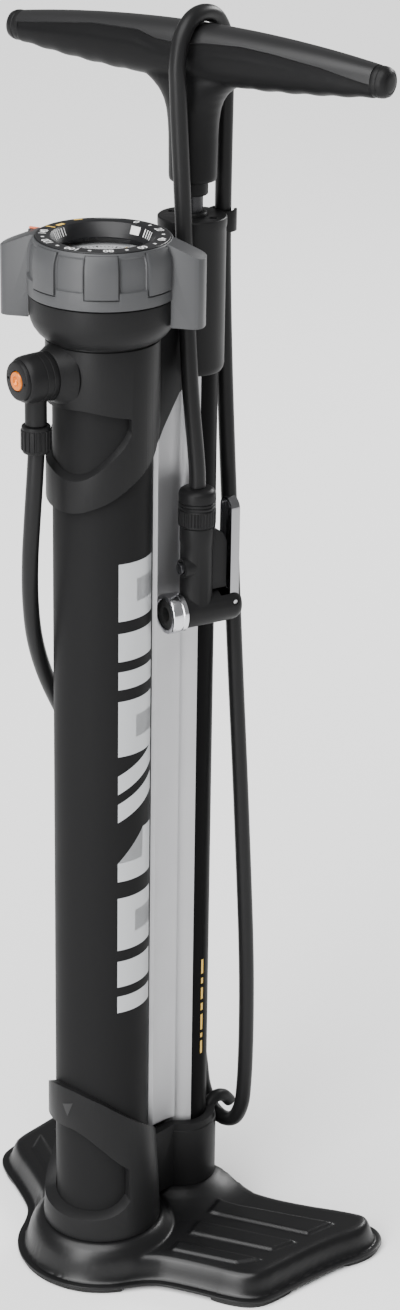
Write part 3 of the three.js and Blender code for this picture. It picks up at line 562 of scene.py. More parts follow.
def add_base():
    outline = rounded(BASE_OUTLINE)
    shell = gather("base_plate_shell", [base_shell(outline), base_flange(outline)])
    dress(shell, "root", "steel_base", "base_plate")
    feet = {"foot_front": [*arc(51.5, -150, -30, 48), *arc(47, -30, -150, 48)]}
    front = [(88, 6), (103, 11.6), (113, 18.5), (118, 28.5), (119.4, 50), (114.6, 50), (113.5, 30),
             (109, 22), (101, 17), (88, 12)]
    rear = [(124.4, 92), (128.4, 104.5), (128.5, 115.5), (124, 125.7), (114.6, 131.4), (105, 130.6),
            (105, 125.5), (113, 126), (120, 122), (123.4, 114.5), (123.4, 105.5), (119.5, 92)]
    for label, side in (("left", -1), ("right", 1)):
        feet[f"foot_{label}_front"] = rounded([(side * x, y) for x, y in front])
        feet[f"foot_{label}_rear"] = rounded([(side * x, y) for x, y in rear])
    for node, shape in feet.items():
        dress(prism(f"{node}_pad", shape, 0, FLANGE_Z - GAP), "root", "black_rubber", node)


# ---- foot column ----
SLEEVE_TOP, SOCKET_FLOOR = 132, 51.7
HOOK_LINE = [(84, 64), (88, 71), (94, 73.4), (101, 71), (106.6, 65)]  # y and z
HOOK_THICK_R = 4.1


def add_foot_column():
    sleeve = turned("foot_column_body", [
        [0, COLUMN_BOTTOM], [36.5, COLUMN_BOTTOM], [36.5, 31], [36.2, 34], [35.5, 50], [33.6, 84],
        [33.1, 92], [33, SLEEVE_TOP], [TANK_R + GAP, SLEEVE_TOP], [TANK_R + GAP, 37.3], [0, 37.3]], 128)
    strap = [(-140, 119), (-120, 126), (-105, 129), (-89, 130.3), (-72, 129.6), (-44, 123.4), (-30, 118),
             (-16, 112), (5, 103.2), (28, 94), (45, 86), (62, 79), (90, 75), (118, 79), (135, 86),
             (152, 94), (175, 103), (196, 110), (208, 114), (220, 119)]
    cut(sleeve, band("trim", [(a, z, 140) for a, z in strap], 20, 60))
    rim = SOCKET_R - 0.8
    socket = turned("socket", [
        [0, COLUMN_BOTTOM], [SOCKET_R, COLUMN_BOTTOM], [SOCKET_R, SOCKET_TOP - 5], [rim, SOCKET_TOP - 4.6],
        [rim, SOCKET_TOP], [0, SOCKET_TOP]], 96, AT_BARREL)
    tall, middle = SOCKET_TOP - COLUMN_BOTTOM, (SOCKET_TOP + COLUMN_BOTTOM) / 2
    bridge = block("bridge", (24, 44, tall), (0, 44, middle))
    hook = tube("hook", smooth_line([(HOOK_X, y, z) for y, z in HOOK_LINE], 6), HOOK_THICK_R, 20)
    fuse(sleeve, socket, bridge, hook)
    window = [(-176, 78, 92), (-163, 64, 97), (-149, 54, 100), (-135, 47, 101), (-120, 44.6, 102),
              (-105, 43.6, 102.6), (-90, 42.8, 103.2), (-75, 42.6, 103), (-60, 43, 99), (-45, 43.9, 92),
              (-32, 46, 84.5), (-22, 49.4, 79), (-14, 54, 75)]
    cut(sleeve, disc("tank_hole", TANK_R + GAP, 37.3, 140, 128),
        disc("barrel_hole", BARREL_R + GAP, SOCKET_FLOOR, 140, 96, 0, BARREL_Y),
        prism("web_hole", web_outline(GAP), SOCKET_FLOOR, 140), band("window", window, 27, 38, 4.4))
    dress(sleeve, "root", "black_plastic", "foot_column", bevel=0.7)
    emblem = [(-4, 118.7), (0, 111.4), (4.2, 121.9)]
    wrap_print("column_emblem", [emblem], 33.0, -83.5, 0.3, HANDLE_TOP_LOOK, "black_plastic")


# ---- tank and barrel ----
def web_outline(grow):
    """The web between the tank and the barrel, and the cradle that hugs the tank."""
    inner, outer = TANK_R + GAP - grow, TANK_R + 3 + grow
    half = [(0, 62), (9 + grow, 58), (6.6 + grow, 54), (5.8 + grow, 50), (5.4 + grow, 41), (5.8 + grow, 37),
            (6.8 + grow, 34.4), (10 + grow, 30.2 + grow), *arc(outer, 68, 48 - 1.5 * grow, 10),
            *arc(inner, 48 - 1.5 * grow, 90, 16)]
    return mirrored(half)


def gusset(name, grow):
    """The block that joins the upper housing to the barrel's cap, slanted below."""
    plan = mirrored([(18 + grow, 14), (12.5 + grow, 36), (10.5 + grow, 58)])
    waist = prism("waist", plan, 500, 620)
    side = [(14, 608), (58, 608), (58, 562 - grow), (50, 558 - grow), (24, 525 - grow), (14, 520 - grow)]
    return common(plate(name, side, 50, 90), waist)


def wrap_print(name, shapes, radius, middle, proud, look, slot, centre=(0, 0)):
    """Flat shapes of [around, height] millimetre points laid on a round wall, a little proud of it."""
    work = bmesh.new()
    for shape in shapes:
        work.faces.new([work.verts.new((x, 0, z)) for x, z in shape])
    bmesh.ops.triangulate(work, faces=work.faces[:])
    for cut_at in np.arange(-60, 60, 1.2):
        everything = work.verts[:] + work.edges[:] + work.faces[:]
        bmesh.ops.bisect_plane(work, geom=everything, plane_co=(cut_at, 0, 0), plane_no=(1, 0, 0))
    for vert in work.verts:
        angle = middle + math.degrees(vert.co.x / radius)
        x, y = polar(radius + proud, angle)
        vert.co = row((x + centre[0], y + centre[1], vert.co.z))
    for face in work.faces:
        face.normal_update()
        out = face.calc_center_median() - row((*centre, face.calc_center_median().z / MM))
        if face.normal.dot(Vector((out.x, out.y, 0))) < 0:
            face.normal_flip()
    return dress(object_from(name, work), "root", slot, look=look)


GRAPHIC_LOW, GRAPHIC_HALF = 184.0, 14.6
GRAPHIC_TALL, GRAPHIC_SPACE = 35.0, 7.4


def tank_graphic():
    """A generic upright pattern of blocky bars, where a maker's lettering would stand."""
    step = GRAPHIC_TALL + GRAPHIC_SPACE
    bars = {
        0: [[(-1, 0), (1, 0), (1, 0.32), (-1, 0.32)], [(-1, 0.5), (1, 0.5), (1, 1), (-1, 1)]],
        1: [[(-1, 0), (1, 0), (1, 0.3), (-0.2, 0.3), (-0.2, 0.7), (1, 0.7), (1, 1), (-1, 1)]],
        2: [[(-1, 0), (-1, 0.34), (1, 0.72), (1, 0.38)], [(-1, 0.52), (-1, 0.86), (1, 1.24), (1, 0.9)]],
        3: [[(-1, 0.1), (1, 0.1), (1, 1), (0.3, 1), (0.3, 0.45), (-1, 0.45)]],
    }
    return [[(x * GRAPHIC_HALF, GRAPHIC_LOW + place * step + z * GRAPHIC_TALL) for x, z in bar]
            for place, kind in enumerate((0, 1, 3, 2, 1, 0, 1)) for bar in bars[kind]]


def add_tank_and_barrel():
    tank = turned("tank_wall", [
        [27, TANK_BOTTOM], [TANK_R, TANK_BOTTOM], [TANK_R, 300], [TANK_R, TANK_TOP], [27, TANK_TOP],
        [27, TANK_BOTTOM]], 160)
    dress(tank, "root", "tank_paint", "tank_tube")
    wrap_print("tank_graphic", tank_graphic(), TANK_R, 4, 0.06, PALE_PRINT, "tank_paint")
    pipe = disc("barrel_wall", BARREL_R, BARREL_BOTTOM, BARREL_TOP, 96, 0, BARREL_Y)
    web = prism("web", web_outline(0), 74, CAP_BOTTOM)
    neck = turned("neck", [[20, 546], [NECK_R + 2, 546], [NECK_R + 2, 620], [20, 620], [20, 546]], 96)
    cut(web, gusset("gusset_room", GAP), neck)
    fuse(pipe, web)
    cut(pipe, disc("bore", BORE_R, 50, 650, 96, 0, BARREL_Y))
    clean(pipe)
    pipe.data.materials.append(LOOKS["barrel_metal"])
    pipe.data.materials.append(BARREL_BLACK)
    middle = row(AT_BARREL)
    for face in pipe.data.polygons:
        out = face.center - middle
        angle = math.degrees(math.atan2(out.y, out.x))
        far = math.hypot(out.x, out.y) > (BARREL_R - 0.5) * MM
        if far and (angle > -22.5 or angle < -157.5) and abs(face.normal.z) < 0.5:
            face.material_index = 1
    dress(pipe, "root", "barrel_metal", "barrel_extrusion")
    marks = [[(-0.9, z), (0.9, z), (0.9, z + tall), (-0.9, z + tall)]
             for z, tall in ((118, 9), (129.5, 3), (135, 11), (149, 5), (157, 8), (168, 4), (175, 10))]
    wrap_print("barrel_marks", marks, BARREL_R, 4, 0.06, YELLOW_PRINT, "barrel_metal", (0, BARREL_Y))


# ---- upper housing and cap ----
def add_housing():
    cup = turned("upper_housing_body", [
        [TANK_R + GAP, 500], [NECK_R, 500], [NECK_R, 599], [NECK_R - 1.1, 599.4], [NECK_R - 1.1, 600.6],
        [33.8, 601], [36.6, 603.6], [39, 607], [40.4, 610.4], [COLLAR_R, 613.4], [COLLAR_R, 624.1],
        [40.6, 624.5], [38.8, 624.5], [38.8, 610], [33, 603], [9, 603], [9, TANK_TOP + GAP],
        [TANK_R + GAP, TANK_TOP + GAP], [TANK_R + GAP, 500]], 128)
    lower_edge = [(-270, 556), (-235, 552), (-200, 533), (-163, 516), (-140, 508.5), (-119, 505.5),
                  (-99, 504.2), (-80, 504), (-65, 505.6), (-45, 510), (-32, 513.8), (-15, 520.2),
                  (0, 526), (17, 533), (52, 552), (90, 556)]
    cut(cup, band("trim", [(a, 480, z) for a, z in lower_edge], 20, 60))
    boss = turned("boss", [[0, 28], [19, 28], [17.6, 30.6], [16, 33.4], [14.6, 36], [14.2, 37], [0, 37]],
                  96, (0, 0, ELBOW_Z), (*polar(1, ELBOW_ANGLE), 0))
    fuse(cup, gusset("gusset", 0), boss)
    window = [(-168, 550, 556), (-153, 539, 561), (-138, 532.5, 563), (-123, 530, 564), (-108, 528.5, 564),
              (-93, 526, 564.4), (-78, 524.8, 565), (-63, 526.6, 565.2), (-48, 531.8, 564),
              (-33, 539, 562.2), (-22, 545.4, 560.9), (-14, 552, 560)]
    cut(cup, disc("tank_hole", TANK_R + GAP, 480, TANK_TOP + GAP, 128),
        disc("barrel_hole", BARREL_R + GAP, 480, 700, 96, 0, BARREL_Y),
        disc("cap_hole", CAP_R + GAP, CAP_BOTTOM - GAP, 700, 96, 0, BARREL_Y),
        band("window", window, 27, 34, 6.0))
    dress(cup, "root", "black_plastic", "upper_housing", bevel=0.6)


def add_cap():
    sleeve = turned("cap_body", [
        [BARREL_R + GAP, CAP_BOTTOM], [CAP_R - 1.8, CAP_BOTTOM], [CAP_R - 0.9, CAP_BOTTOM + 1.5],
        [CAP_R - 0.4, CAP_BOTTOM + 4], [CAP_R - 0.4, 649], [CAP_R, 651], [CAP_R, CAP_TOP - 0.6],
        [CAP_R - 0.6, CAP_TOP], [9, CAP_TOP], [9, 648.3], [BARREL_R + GAP, 648.3],
        [BARREL_R + GAP, CAP_BOTTOM]], 96, AT_BARREL)
    arm = block("arm", (9, 5, 12), (0, BARREL_Y + CAP_R, 649))
    cut(arm, disc("arm_room", 17, 640, 660, 64, 0, BARREL_Y))
    ring = disc("ring", 8.2, 643, 655, 48, 0, CLIP_Y)
    fuse(sleeve, arm, ring)
    holes = [disc("hole", 2.3, 645, 657, 32, side * 13.4, BARREL_Y + side * 3) for side in (-1, 1)]
    cut(sleeve, disc("clip_hole", 6.3, 642, 656.5, 48, 0, CLIP_Y),
        block("mouth", (7, 8, 14), (0, CLIP_Y + 7, 649)), *holes)
    dress(sleeve, "root", "black_plastic", "barrel_cap", bevel=0.35)
    bush = turned("bush_collar", [
        [6.3, 636], [13.2, 636], [13.2, 647], [8.7, 647.6], [8.7, 657], [8.2, 657.9], [7.6, 658.4],
        [6.3, 658.4], [6.3, 636]], 64, AT_BARREL)
    dress(bush, "root", "black_plastic", "rod_bush")


# ---- gauge and selector ----
PAD_ANGLES = (5, -45, -95, 185, 135, 85)
PAD_HALF = 12.2  # degrees
PANEL_DEPTH = 1.5
RIB_ANGLE = 197  # of the selector's index


def off_centre(angle, middle):
    return abs((angle - middle + 180) % 360 - 180)


def bezel_ripple(angle, radius, height):
    """The panels between the pads lie further in."""
    if not 635.4 < height < 654.2 or radius < 38:
        return radius
    nearest = min([off_centre(angle, a) for a in PAD_ANGLES]
                  + [off_centre(angle, TAB_ANGLE + turn) + 1.5 for turn in (0, 180)])
    return radius - PANEL_DEPTH if nearest > PAD_HALF + 1.6 else radius


def pad_block(name, middle, half, low, reach, inner):
    """A raised pad of the selector ring, about the direction middle; inner is its buried radius."""
    outer = [(BEZEL_R + reach, low), (BEZEL_R + reach, 645.4), (41.6 + reach, 649.4), (40.4 + reach, 652.8),
             (39.2 + reach, 655.6)]
    buried = [(min(inner, 38.2), 655.6), (inner - 0.4, 650), (inner, 645), (inner, low)]
    rings = [[(*polar(r, middle + half * (k / 6 - 1)), z) for r, z in outer + buried] for k in range(13)]
    return loft(name, rings)


def add_bezel():
    body = turned("selector_body", [
        [35.2, 618], [38.4, 618], [38.4, 625.2], [41.7, 625.2], [BEZEL_R, 625.5], [BEZEL_R, 635.2],
        [BEZEL_R, 635.6], [BEZEL_R, 645], [41.5, 649.4], [40.2, 653.2], [39.3, 654.4],
        [38.6, GAUGE_TOP - 1], [38.2, GAUGE_TOP - 0.6], [37.7, GAUGE_TOP - 0.6], [37.7, 651.5],
        [35.2, 648], [35.2, 618]], 240, ripple=bezel_ripple)
    tab = [(34, -8), (TAB_REACH - 5, -8), (TAB_REACH - 2.2, -7), (TAB_REACH - 0.5, -4.6), (TAB_REACH, -2),
           (TAB_REACH, 2), (TAB_REACH - 0.5, 4.6), (TAB_REACH - 2.2, 7), (TAB_REACH - 5, 8), (34, 8)]
    tabs = []
    for turn in (0, 180):
        way, side = Vector(polar(1, TAB_ANGLE + turn)), Vector(polar(1, TAB_ANGLE + turn + 90))
        outline = [tuple(way * a + side * b) for a, b in tab]
        wing = prism("wing", outline, 609.5, 656.2)
        slope = plate("slope", [(39, 656.3), (39, 670), (64, 670), (64, 646)], 30, TAB_ANGLE + turn)
        tabs.append(cut(wing, slope))
    rib = polar(BEZEL_R, RIB_ANGLE)
    fuse(body, *tabs, block("index_rib", (9, 3.6, 9), (*rib, 650), RIB_ANGLE))
    dress(block("selector_index", (9, 1.7, 0.9), (*rib, 655.2), RIB_ANGLE), "selector", "grey_plastic",
          look=ORANGE_PRINT, bevel=0.2)
    cut(body, *[pad_block("groove", a, PAD_HALF + 1.3, 631.1, 2.0, 41.0) for a in PAD_ANGLES])
    fuse(body, *[pad_block("pad", a, PAD_HALF, 632.2, 0.8, 38.9) for a in PAD_ANGLES])
    cut(body, disc("collar_room", COLLAR_R + GAP, 600, 624.8, 128), disc("dial_room", 35.2, 620, 660, 128),
        disc("ring_room", 37.7, 651.5, 660, 128))
    dress(body, "selector", "grey_plastic", "selector_bezel", bevel=0.35, sharp=28)


def flat_text(words, size):
    """The outline of a few characters as flat corners and faces, in millimetres, centred."""
    curve = bpy.data.curves.new("characters", "FONT")
    curve.body, curve.size, curve.align_x, curve.align_y = words, size, "CENTER", "CENTER"
    curve.offset = 0.12
    holder = add_object("characters", curve)
    bpy.context.view_layer.update()
    mesh = bpy.data.meshes.new_from_object(holder)
    found = [Vector(v.co) for v in mesh.vertices], [list(p.vertices) for p in mesh.polygons]
    bpy.data.objects.remove(holder)
    bpy.data.meshes.remove(mesh)
    return found


def dial_print(name, marks, height, look):
    """Flat print on the dial ring: marks are (points, faces, radius, angle), their tops facing outward."""
    points, faces = [], []
    for flat, polygons, radius, angle in marks:
        start = len(points)
        out, side = Vector(polar(1, angle)), Vector(polar(1, angle - 90))
        for p in flat:
            at = out * (radius + p.y) + side * p.x
            points.append((at.x, at.y, height))
        faces += [[start + i for i in polygon] for polygon in polygons]
    made = piece(name, points, faces)
    with editing(made.data) as work:
        bmesh.ops.reverse_faces(work, faces=[f for f in work.faces if f.normal.z < 0])
    return dress(made, "root", "dial_plastic", look=look)


def quad(width, height):
    a, b = width / 2, height / 2
    return [Vector(corner) for corner in ((-a, -b), (a, -b), (a, b), (-a, b))], [[0, 1, 2, 3]]


DIAL_START, DIAL_STEP = 102, -35.2  # angle of the first number, and the angle to the next
DIAL_NUMBERS, NUMBER_STEP, NUMBER_SIZE = 8, 20, 6.0
PRINT_Z = GAUGE_TOP + 0.05
FACE_MARKS, FACE_START, FACE_SWEEP = 51, 225, 270


def add_wall_ticks():
    """Short dashes on the sloping wall between the dial's face and its ring."""
    ticks = [(186 + 4.6 * i, 0.9 if i % 2 else 0.5) for i in range(6)]
    ticks += [(64 + 5.2 * i, 0.8) for i in range(4)]
    points, faces = [], []
    for angle, wide in [*ticks, (95, 6.6)]:
        half = math.degrees(wide / 2 / 28)
        for r, z in ((26.6, 651.8), (28.5, 656.1)):
            for end in (-half, half):
                points.append((*polar(r - 0.06, angle + end), z))
        k = len(points) - 4
        faces.append([k, k + 1, k + 3, k + 2])
    dress(piece("dial_wall_ticks", points, faces), "root", "dial_plastic", look=WHITE_PRINT)


def add_gauge():
    ring = turned("dial_ring", [
        [25.4, 649], [27.4, 649], [28.4, 651.6], [37.4, 651.9], [37.4, GAUGE_TOP - 0.3], [37.1, GAUGE_TOP],
        [29.3, GAUGE_TOP], [28.9, GAUGE_TOP - 0.3], [25.4, 649]], 160)
    dress(ring, "root", "dial_plastic", "numeral_ring")
    numbers, dots = [], []
    for i in range(DIAL_NUMBERS):
        angle = DIAL_START + DIAL_STEP * i
        numbers.append((*flat_text(str(i * NUMBER_STEP), NUMBER_SIZE), 33.1, angle))
        if i + 1 < DIAL_NUMBERS:
            dots.append((*quad(1.7, 1.7), 33.3, angle + DIAL_STEP / 2))
    dial_print("dial_numbers", numbers + dots, GAUGE_TOP + 0.04, WHITE_PRINT)
    yellow = [(*quad(5, 1.6), 35.4, 159), (*quad(5.5, 2.6), 31.8, 184), (*quad(1.2, 6), 33.4, 196)]
    dial_print("dial_yellow_marks", yellow, PRINT_Z, YELLOW_PRINT)
    dial_print("dial_grey_marks", [(*quad(15, 1.0), 35.6, 132)], PRINT_Z, PALE_PRINT)
    add_wall_ticks()
    face = disc("dial_plate", 32, 642.6, 644, 96)
    dress(face, "root", "dial_face", "gauge_face")
    marks = []
    for i in range(FACE_MARKS):
        mark = quad(0.5, 2.2) if i % 5 else quad(0.9, 3.4)
        marks.append((*mark, 23.2, FACE_START - FACE_SWEEP / (FACE_MARKS - 1) * i))
    dial_print("dial_face_marks", marks, 644.05, LOOKS["dial_plastic"])
    dress(disc("lens_disc", 32, 647.2, 648.7, 96), "root", "lens", "gauge_lens")
    corners = [(8, 180), (1.5, -90), (21, 0), (1.5, 90)]
    outline = [polar(reach, NEEDLE_ANGLE + turn) for reach, turn in corners]
    hub = [[0, 644.5], [3, 644.5], [3, 646.3], [2.4, 646.8], [0, 646.8]]
    needle = gather("needle_pointer", [prism("pointer", outline, 645.2, 645.9), turned("hub", hub, 48)])
    dress(needle, "needle", "needle_paint", "gauge_needle")


# ---- elbow ----
def add_elbow():
    outward = (*polar(1, ELBOW_ANGLE), 0)
    centre = (0, 0, ELBOW_Z)
    pipe = polar(44.5, ELBOW_ANGLE)
    body = turned("elbow_housing", [
        [0, 37.3], [13.6, 37.3], [13.8, 37.6], [13.7, 40.2], [13.4, 40.4], [13.4, 40.8], [13.7, 41],
        [13.6, 44.4], [13.3, 44.6], [13.3, 45], [13.6, 45.2], [13.4, 50], [13.1, 52], [12.6, 53.5],
        [11.6, 54.6], [0, 54.6]], 96, centre, outward)
    profile = [[0, 555.8], [5.7, 555.8], [6.2, 556.3], [6.2, 569], [7.4, 575], [0, 575]]
    fuse(body, turned("down", profile, 64, (*pipe, 0)))
    dress(body, "root", "black_plastic", "elbow_body")
    cap = turned("elbow_cap", [
        [3.9, 54.9], [11.4, 54.9], [11.2, ELBOW_REACH - 1], [10.8, ELBOW_REACH - 0.3], [10.2, ELBOW_REACH],
        [6, ELBOW_REACH], [5.8, ELBOW_REACH - 1.2], [3.9, ELBOW_REACH - 1.2], [3.9, 54.9]],
        96, centre, outward)
    out, side = Vector(outward), Vector((*polar(1, ELBOW_ANGLE + 90), 0))
    for turn in (-1, 1):
        start, end = (Vector(centre) + out * reach + side * (8.4 * turn) for reach in (55.6, 58))
        cut(cap, bar("pin_hole", start, end, 0.8, 12))
    dress(cap, "root", "black_plastic", "elbow_end_cap")
    screw = turned("elbow_bolt", [
        [0, 46], [3.6, 46], [3.6, 56.1], [5.5, 56.1], [5.5, 56.8], [5.1, 57.5], [2.9, 57.6], [2.5, 56.4],
        [1.2, 55.6], [0, 55.4]], 48, centre, outward)
    dress(screw, "root", "orange_metal", "elbow_screw")
    nut = turned("nut_ribbed", [
        [0, 539.9], [7.3, 539.9], [7.6, 540.2], [7.9, 541.4], [8.6, 541.8], [8.7, 542.4], [8.7, 552.6],
        [8.6, 553.2], [8.1, 553.6], [8.2, 554.8], [7.9, 555.5], [0, 555.5]],
        180, (*pipe, 0), ripple=lambda a, r, z: r - (0.6 if r > 8.3 and a % 20 > 10 else 0))
    dress(nut, "root", "black_plastic", "hose_nut")


# ---- plunger ----
def grip_size(s):
    """Height above and below the grip's axis, and half its width, at a distance along it."""
    ease = (s / 125) ** 2
    wave = 0.34 * math.cos(s * math.pi / 8.5) if abs(s) > 38 else 0
    return 17 - 9 * ease, 15.6 - 7.6 * ease + wave, 16 - 8 * ease


def squarish(angle):
    """A direction on a circle pushed out a little toward its corners."""
    y, z = polar(1, angle)
    out = (abs(y) ** 2.3 + abs(z) ** 2.3) ** (-1 / 2.3)
    return y * out, z * out


def crease_angle(s):
    """Degrees from the grip's middle up to its top's front edge; the back edge is this, end for end."""
    return float(np.interp(s, [-119, -90, -62, -30, -16, 0, 16, 40, 60, 90, 105, 119],
                           [24, 35, 43, 40, 28, 25, 32, 37, 34, 24, 12, -2]))


def place_handle(obj):
    turn = Matrix.Rotation(math.radians(HANDLE_ANGLE), 4, "Z")
    place = Matrix.Translation(row((0, BARREL_Y, HANDLE_Z)))
    obj.data.transform(place @ turn @ Matrix.Translation(-row((0, 0, 0))))
    return obj


def grip_rings():
    """The sections of the grip's dark core and of the grey cover on its top."""
    stations = np.linspace(-HANDLE_HALF, HANDLE_HALF, 161)
    core_rings, top_rings = [], []
    for s in stations:
        up, down, half = grip_size(s)
        ring = []
        front, back = 180 - crease_angle(s), crease_angle(-s)
        for i in range(72):
            angle = 360 * i / 72
            y, z = squarish(angle)
            below = min(abs(angle - front - 12), abs((angle - back + 12 + 180) % 360 - 180))
            hollow = 1 - 0.07 * max(0, 1 - (below / 14) ** 2)
            ring.append((s, y * half * 0.965 * hollow, z * hollow * (up - 0.9 if z > 0 else down)))
        core_rings.append(ring)
        outer = []
        for angle in np.linspace(back, front, 33):
            y, z = squarish(angle)
            outer.append((s, y * half, z * (up if 0 < angle < 180 else down)))
        inner = [(s, y * 0.9, z * 0.9 - 0.3) for _, y, z in reversed(outer)]
        top_rings.append(outer + inner)
    return core_rings, top_rings


def add_handle():
    core_rings, top_rings = grip_rings()
    core = loft("handle_core", core_rings)
    stem = turned("stem", [
        [0, -71.5], [12.9, -71.5], [13.4, -70.9], [13.7, -69], [14, -46], [14.7, -33], [15.4, -18],
        [15.4, -6], [0, -6]], 64)
    trumpet = [(14, 13.9, -46), (14.6, 14.1, -38), (15.8, 14.3, -31), (18, 14.6, -25.5), (21.4, 14.9, -21),
               (26.5, 15, -17), (33, 14.6, -13.4), (41, 12.5, -9.5), (36, 10, -4)]
    around = [polar(1, angle) for angle in range(0, 360, 6)]
    flare = loft("flare", [[(a * x, b * y, z) for x, y in around] for a, b, z in trumpet])
    core = gather("handle_core", [core, stem, flare])
    voxels = core.modifiers.new("voxels", "REMESH")
    voxels.mode, voxels.voxel_size = "VOXEL", 0.9 * MM
    ease = core.modifiers.new("ease", "SMOOTH")
    ease.factor, ease.iterations = 0.5, 7
    bake(core)
    place_handle(core)
    dress(core, "plunger", "handle_plastic", "handle_grip")
    top = place_handle(loft("handle_top", top_rings))
    dress(top, "plunger", "handle_plastic", look=HANDLE_TOP_LOOK)
    for label, turn in (("right", 0), ("left", 180)):
        outward = (*polar(1, HANDLE_ANGLE + turn), 0)
        profile = [[0, 118], [8.4, 118], [8.6, 119.6], [8.7, 121.5], [8.4, 121.9], [8.4, 122.4],
                   [8.7, 122.8], [8.4, 124.6], [7.6, 126.4], [6, 127.4], [5.6, 127.2], [5.2, 127.5],
                   [3, 127.9], [0, 128]]
        end = turned(f"grip_end_{label}", profile, 64, (0, BARREL_Y, HANDLE_Z), outward)
        dress(end, "plunger", "black_plastic", f"handle_cap_{label}")
    rod = disc("rod_shaft", ROD_R, 73, 703.2, 64, 0, BARREL_Y)
    dress(rod, "plunger", "rod_steel", "piston_rod")
    profile = [[6.3, 668], [8.2, 668], [8.8, 668.6], [8.8, 675.2], [6.3, 675.2], [6.3, 668]]
    nut = turned("rod_collar", profile, 72, AT_BARREL)
    dress(nut, "plunger", "black_plastic", "rod_nut")


# ---- pump head ----
HEAD_WAY = Vector((*polar(1, HEAD_ANGLE), 0))  # from the valve face to the lever
HEAD_SIDE = Vector((HEAD_WAY.y, -HEAD_WAY.x, 0))
PIN_HOLE_R = 1.8
LEVER_THICK, LEVER_EYE_Z = 5.7, 59


def head_point(along, across, up):
    return HEAD + HEAD_WAY * along + HEAD_SIDE * across + Vector((0, 0, up))


def cross(name, profile, sides=72):
    """Turned about the head's barrel."""
    return turned(name, profile, sides, tuple(HEAD), tuple(HEAD_WAY))


def on_pivot(name, half, radius):
    """A bar across the head on the lever's pivot."""
    ends = [head_point(PIVOT_ALONG, side * half, PIVOT_UP) for side in (-1, 1)]
    return bar(name, *ends, radius)


def on_button(name, start, end, radius, sides):
    """A bar on the release button's line."""
    ends = [head_point(along, BUTTON_ACROSS, BUTTON_UP) for along in (start, end)]
    return bar(name, *ends, radius, sides)


def add_head():
    profile = [[0, 429], [9.6, 429], [9.6, 470], [10, 472], [10, 480.6], [9.6, 481], [0, 481]]
    body = turned("head_housing", profile, 72, (HEAD.x, HEAD.y, 0))
    barrel = cross("barrel", [
        [0, FACE + 10.5], [10.2, FACE + 10.5], [HEAD_BARREL_R, FACE + 10.9], [HEAD_BARREL_R, 22],
        [10.1, 24.2], [9, 26.2], [7.6, 27], [0, 27]])
    fuse(body, barrel, on_button("boss", -2, -11.5, 5.6, 48))
    slot = block("slot", (21, 2 * LEVER_HALF + 0.8, 30), head_point(23.5, 0, 8), HEAD_ANGLE)
    cut(body, on_button("button_hole", -2, -20, 3.6, 48), slot, on_pivot("pin_hole", 14, PIN_HOLE_R),
        cross("bore", [[0, FACE - 1], [6, FACE - 1], [6, 12], [0, 12]], 48))
    fuse(body, plate("fin", [(6, 12), (17.6, 12), (17.6, 40), (15, 46), (6, 50)], 9, HEAD_ANGLE, HEAD))
    dress(body, "root", "black_plastic", "head_body", bevel=0.45)
    ring = dress(cross("face_ring", [
        [9, FACE + 10.2], [11.6, FACE + 10.2], [11.9, FACE + 9.9], [11.9, FACE + 7.2], [11.5, FACE + 6.8],
        [11.5, FACE + 6.1], [11.9, FACE + 5.7], [11.9, FACE + 0.9], [11.6, FACE + 0.3], [11, FACE],
        [9.4, FACE], [9, FACE + 0.4], [9, FACE + 10.2]]), "root", "chrome", "head_ring")
    gasket = dress(cross("face_gasket", [
        [4.2, FACE + 9.8], [8.7, FACE + 9.8], [8.7, FACE + 0.7], [8.3, FACE + 0.4], [5, FACE + 0.4],
        [4.2, FACE + 1.1], [4.2, FACE + 9.8]], 64), "root", "black_rubber", "head_gasket")
    nut = turned("head_collar", [
        [0, 481.3], [10.5, 481.3], [10.9, 481.7], [10.9, 482.6], [11, 482.7], [11, 491], [10.9, 491.1],
        [10.4, 491.8], [10.9, 492.4], [10.9, 493.2], [10.3, 493.8], [10.9, 494.4], [10.9, 495.2],
        [10.3, 495.8], [10.9, 496.4], [10.9, 500.4], [10.6, 501.6], [10, 502.6], [8.6, 503.6],
        [7.6, NUT_TOP], [0, NUT_TOP]], 144, (HEAD.x, HEAD.y, 0),
        ripple=lambda a, r, z: r - (0.4 if r > 10.95 and a % 10 > 6 else 0))
    dress(nut, "root", "black_plastic", "head_nut")
    button = on_button("button_cap", -9.4, -13.6, 3.3, 40)
    dress(button, "button", "rod_steel", "release_button", bevel=0.4)
    rivet = dress(on_pivot("lever_rivet", 9.2, 1.5), "root", "bright_steel", "lever_pin", bevel=0.3)
    return [body, ring, gasket, nut, button, rivet, add_lever()]


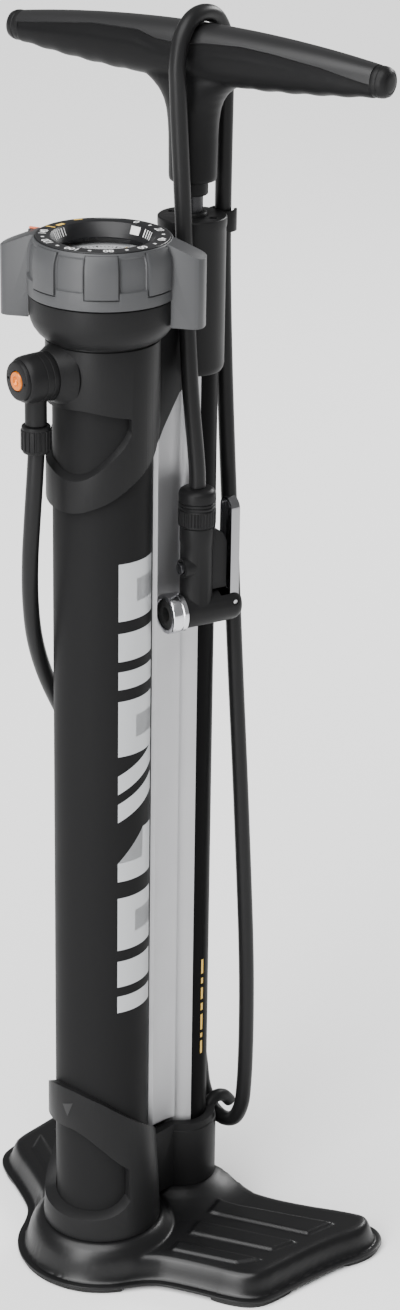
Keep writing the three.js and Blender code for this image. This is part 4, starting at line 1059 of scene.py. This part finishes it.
def add_lever():
    def strip(name, half, low, thick, along):
        """An upright strip with a round top, across the head."""
        outline = [(-half, low), (half, low), *arc(half, 0, 180, 24, 0, LEVER_EYE_Z)]
        return plate(name, outline, thick, HEAD_ANGLE - 90, head_point(along, 0, 0))

    strap = strip("lever_strap", LEVER_HALF, -4, LEVER_THICK, 22.2)
    hole = bar("hole", head_point(18, 0, 56), head_point(28, 0, 56), 1.5)
    cut(strap, strip("pocket", 5.4, 10, 5, 20.6), on_pivot("pin", 12, PIN_HOLE_R), hole)
    return dress(strap, "lever", "chrome", "head_lever", look=LEVER_LOOK, bevel=1.0)


# ---- floor and light ----
FLOOR_REACH = 60  # metres
WORLD_POWER = 0.32
SKY_POWER, SKY_ANGLE, SKY_FROM = 5.6, 60, (0.15, -0.75, 1.3)


def add_light(name, place, size, power, aim=(0, 0, 0.35)):
    data = bpy.data.lights.new(name, "AREA")
    data.shape, data.size, data.size_y, data.energy = "RECTANGLE", *size, power
    lamp = add_object(name, data)
    lamp.location = place
    lamp.rotation_euler = (Vector(aim) - Vector(place)).to_track_quat("-Z", "Y").to_euler()


def add_stage():
    mesh = bpy.data.meshes.new("floor")
    corners = [(x * FLOOR_REACH, y * FLOOR_REACH, 0) for x, y in ((-1, -1), (1, -1), (1, 1), (-1, 1))]
    mesh.from_pydata(corners, [], [(0, 1, 2, 3)])
    floor = add_object("floor", mesh)
    look = grained("floor_white", (0.9, 0.9, 0.9), 0.9, scale=20, bump=0.0, spread=0.02)
    floor.data.materials.append(look)
    world = bpy.data.worlds.new("room")
    world.use_nodes = True
    fill(world.node_tree.nodes["Background"], {"Color": (1, 1, 1, 1), "Strength": WORLD_POWER})
    bpy.context.scene.world = world
    sky = bpy.data.lights.new("sky", "SUN")
    sky.energy, sky.angle = SKY_POWER, math.radians(SKY_ANGLE)
    lamp = add_object("sky", sky)
    lamp.rotation_euler = (-Vector(SKY_FROM)).to_track_quat("-Z", "Y").to_euler()
    add_light("key", (0.45, -2.0, 0.9), (0.8, 1.7), 46)
    add_light("back", (-0.2, 2.3, 1.5), (0.9, 0.5), 34, (0, 0, 0.75))


def main():
    add_camera()
    hose, path = add_hose()
    for entry in frame["record"]["subparts"]:
        mesh = frame["nodes"][entry["node"]].data
        mesh.materials.clear()
        mesh.materials.append(LOOKS[entry["material_slot"]])
    add_base()
    add_foot_column()
    add_tank_and_barrel()
    add_housing()
    add_cap()
    add_bezel()
    add_gauge()
    add_elbow()
    add_handle()
    on_hose = add_head()
    add_stage()


main()
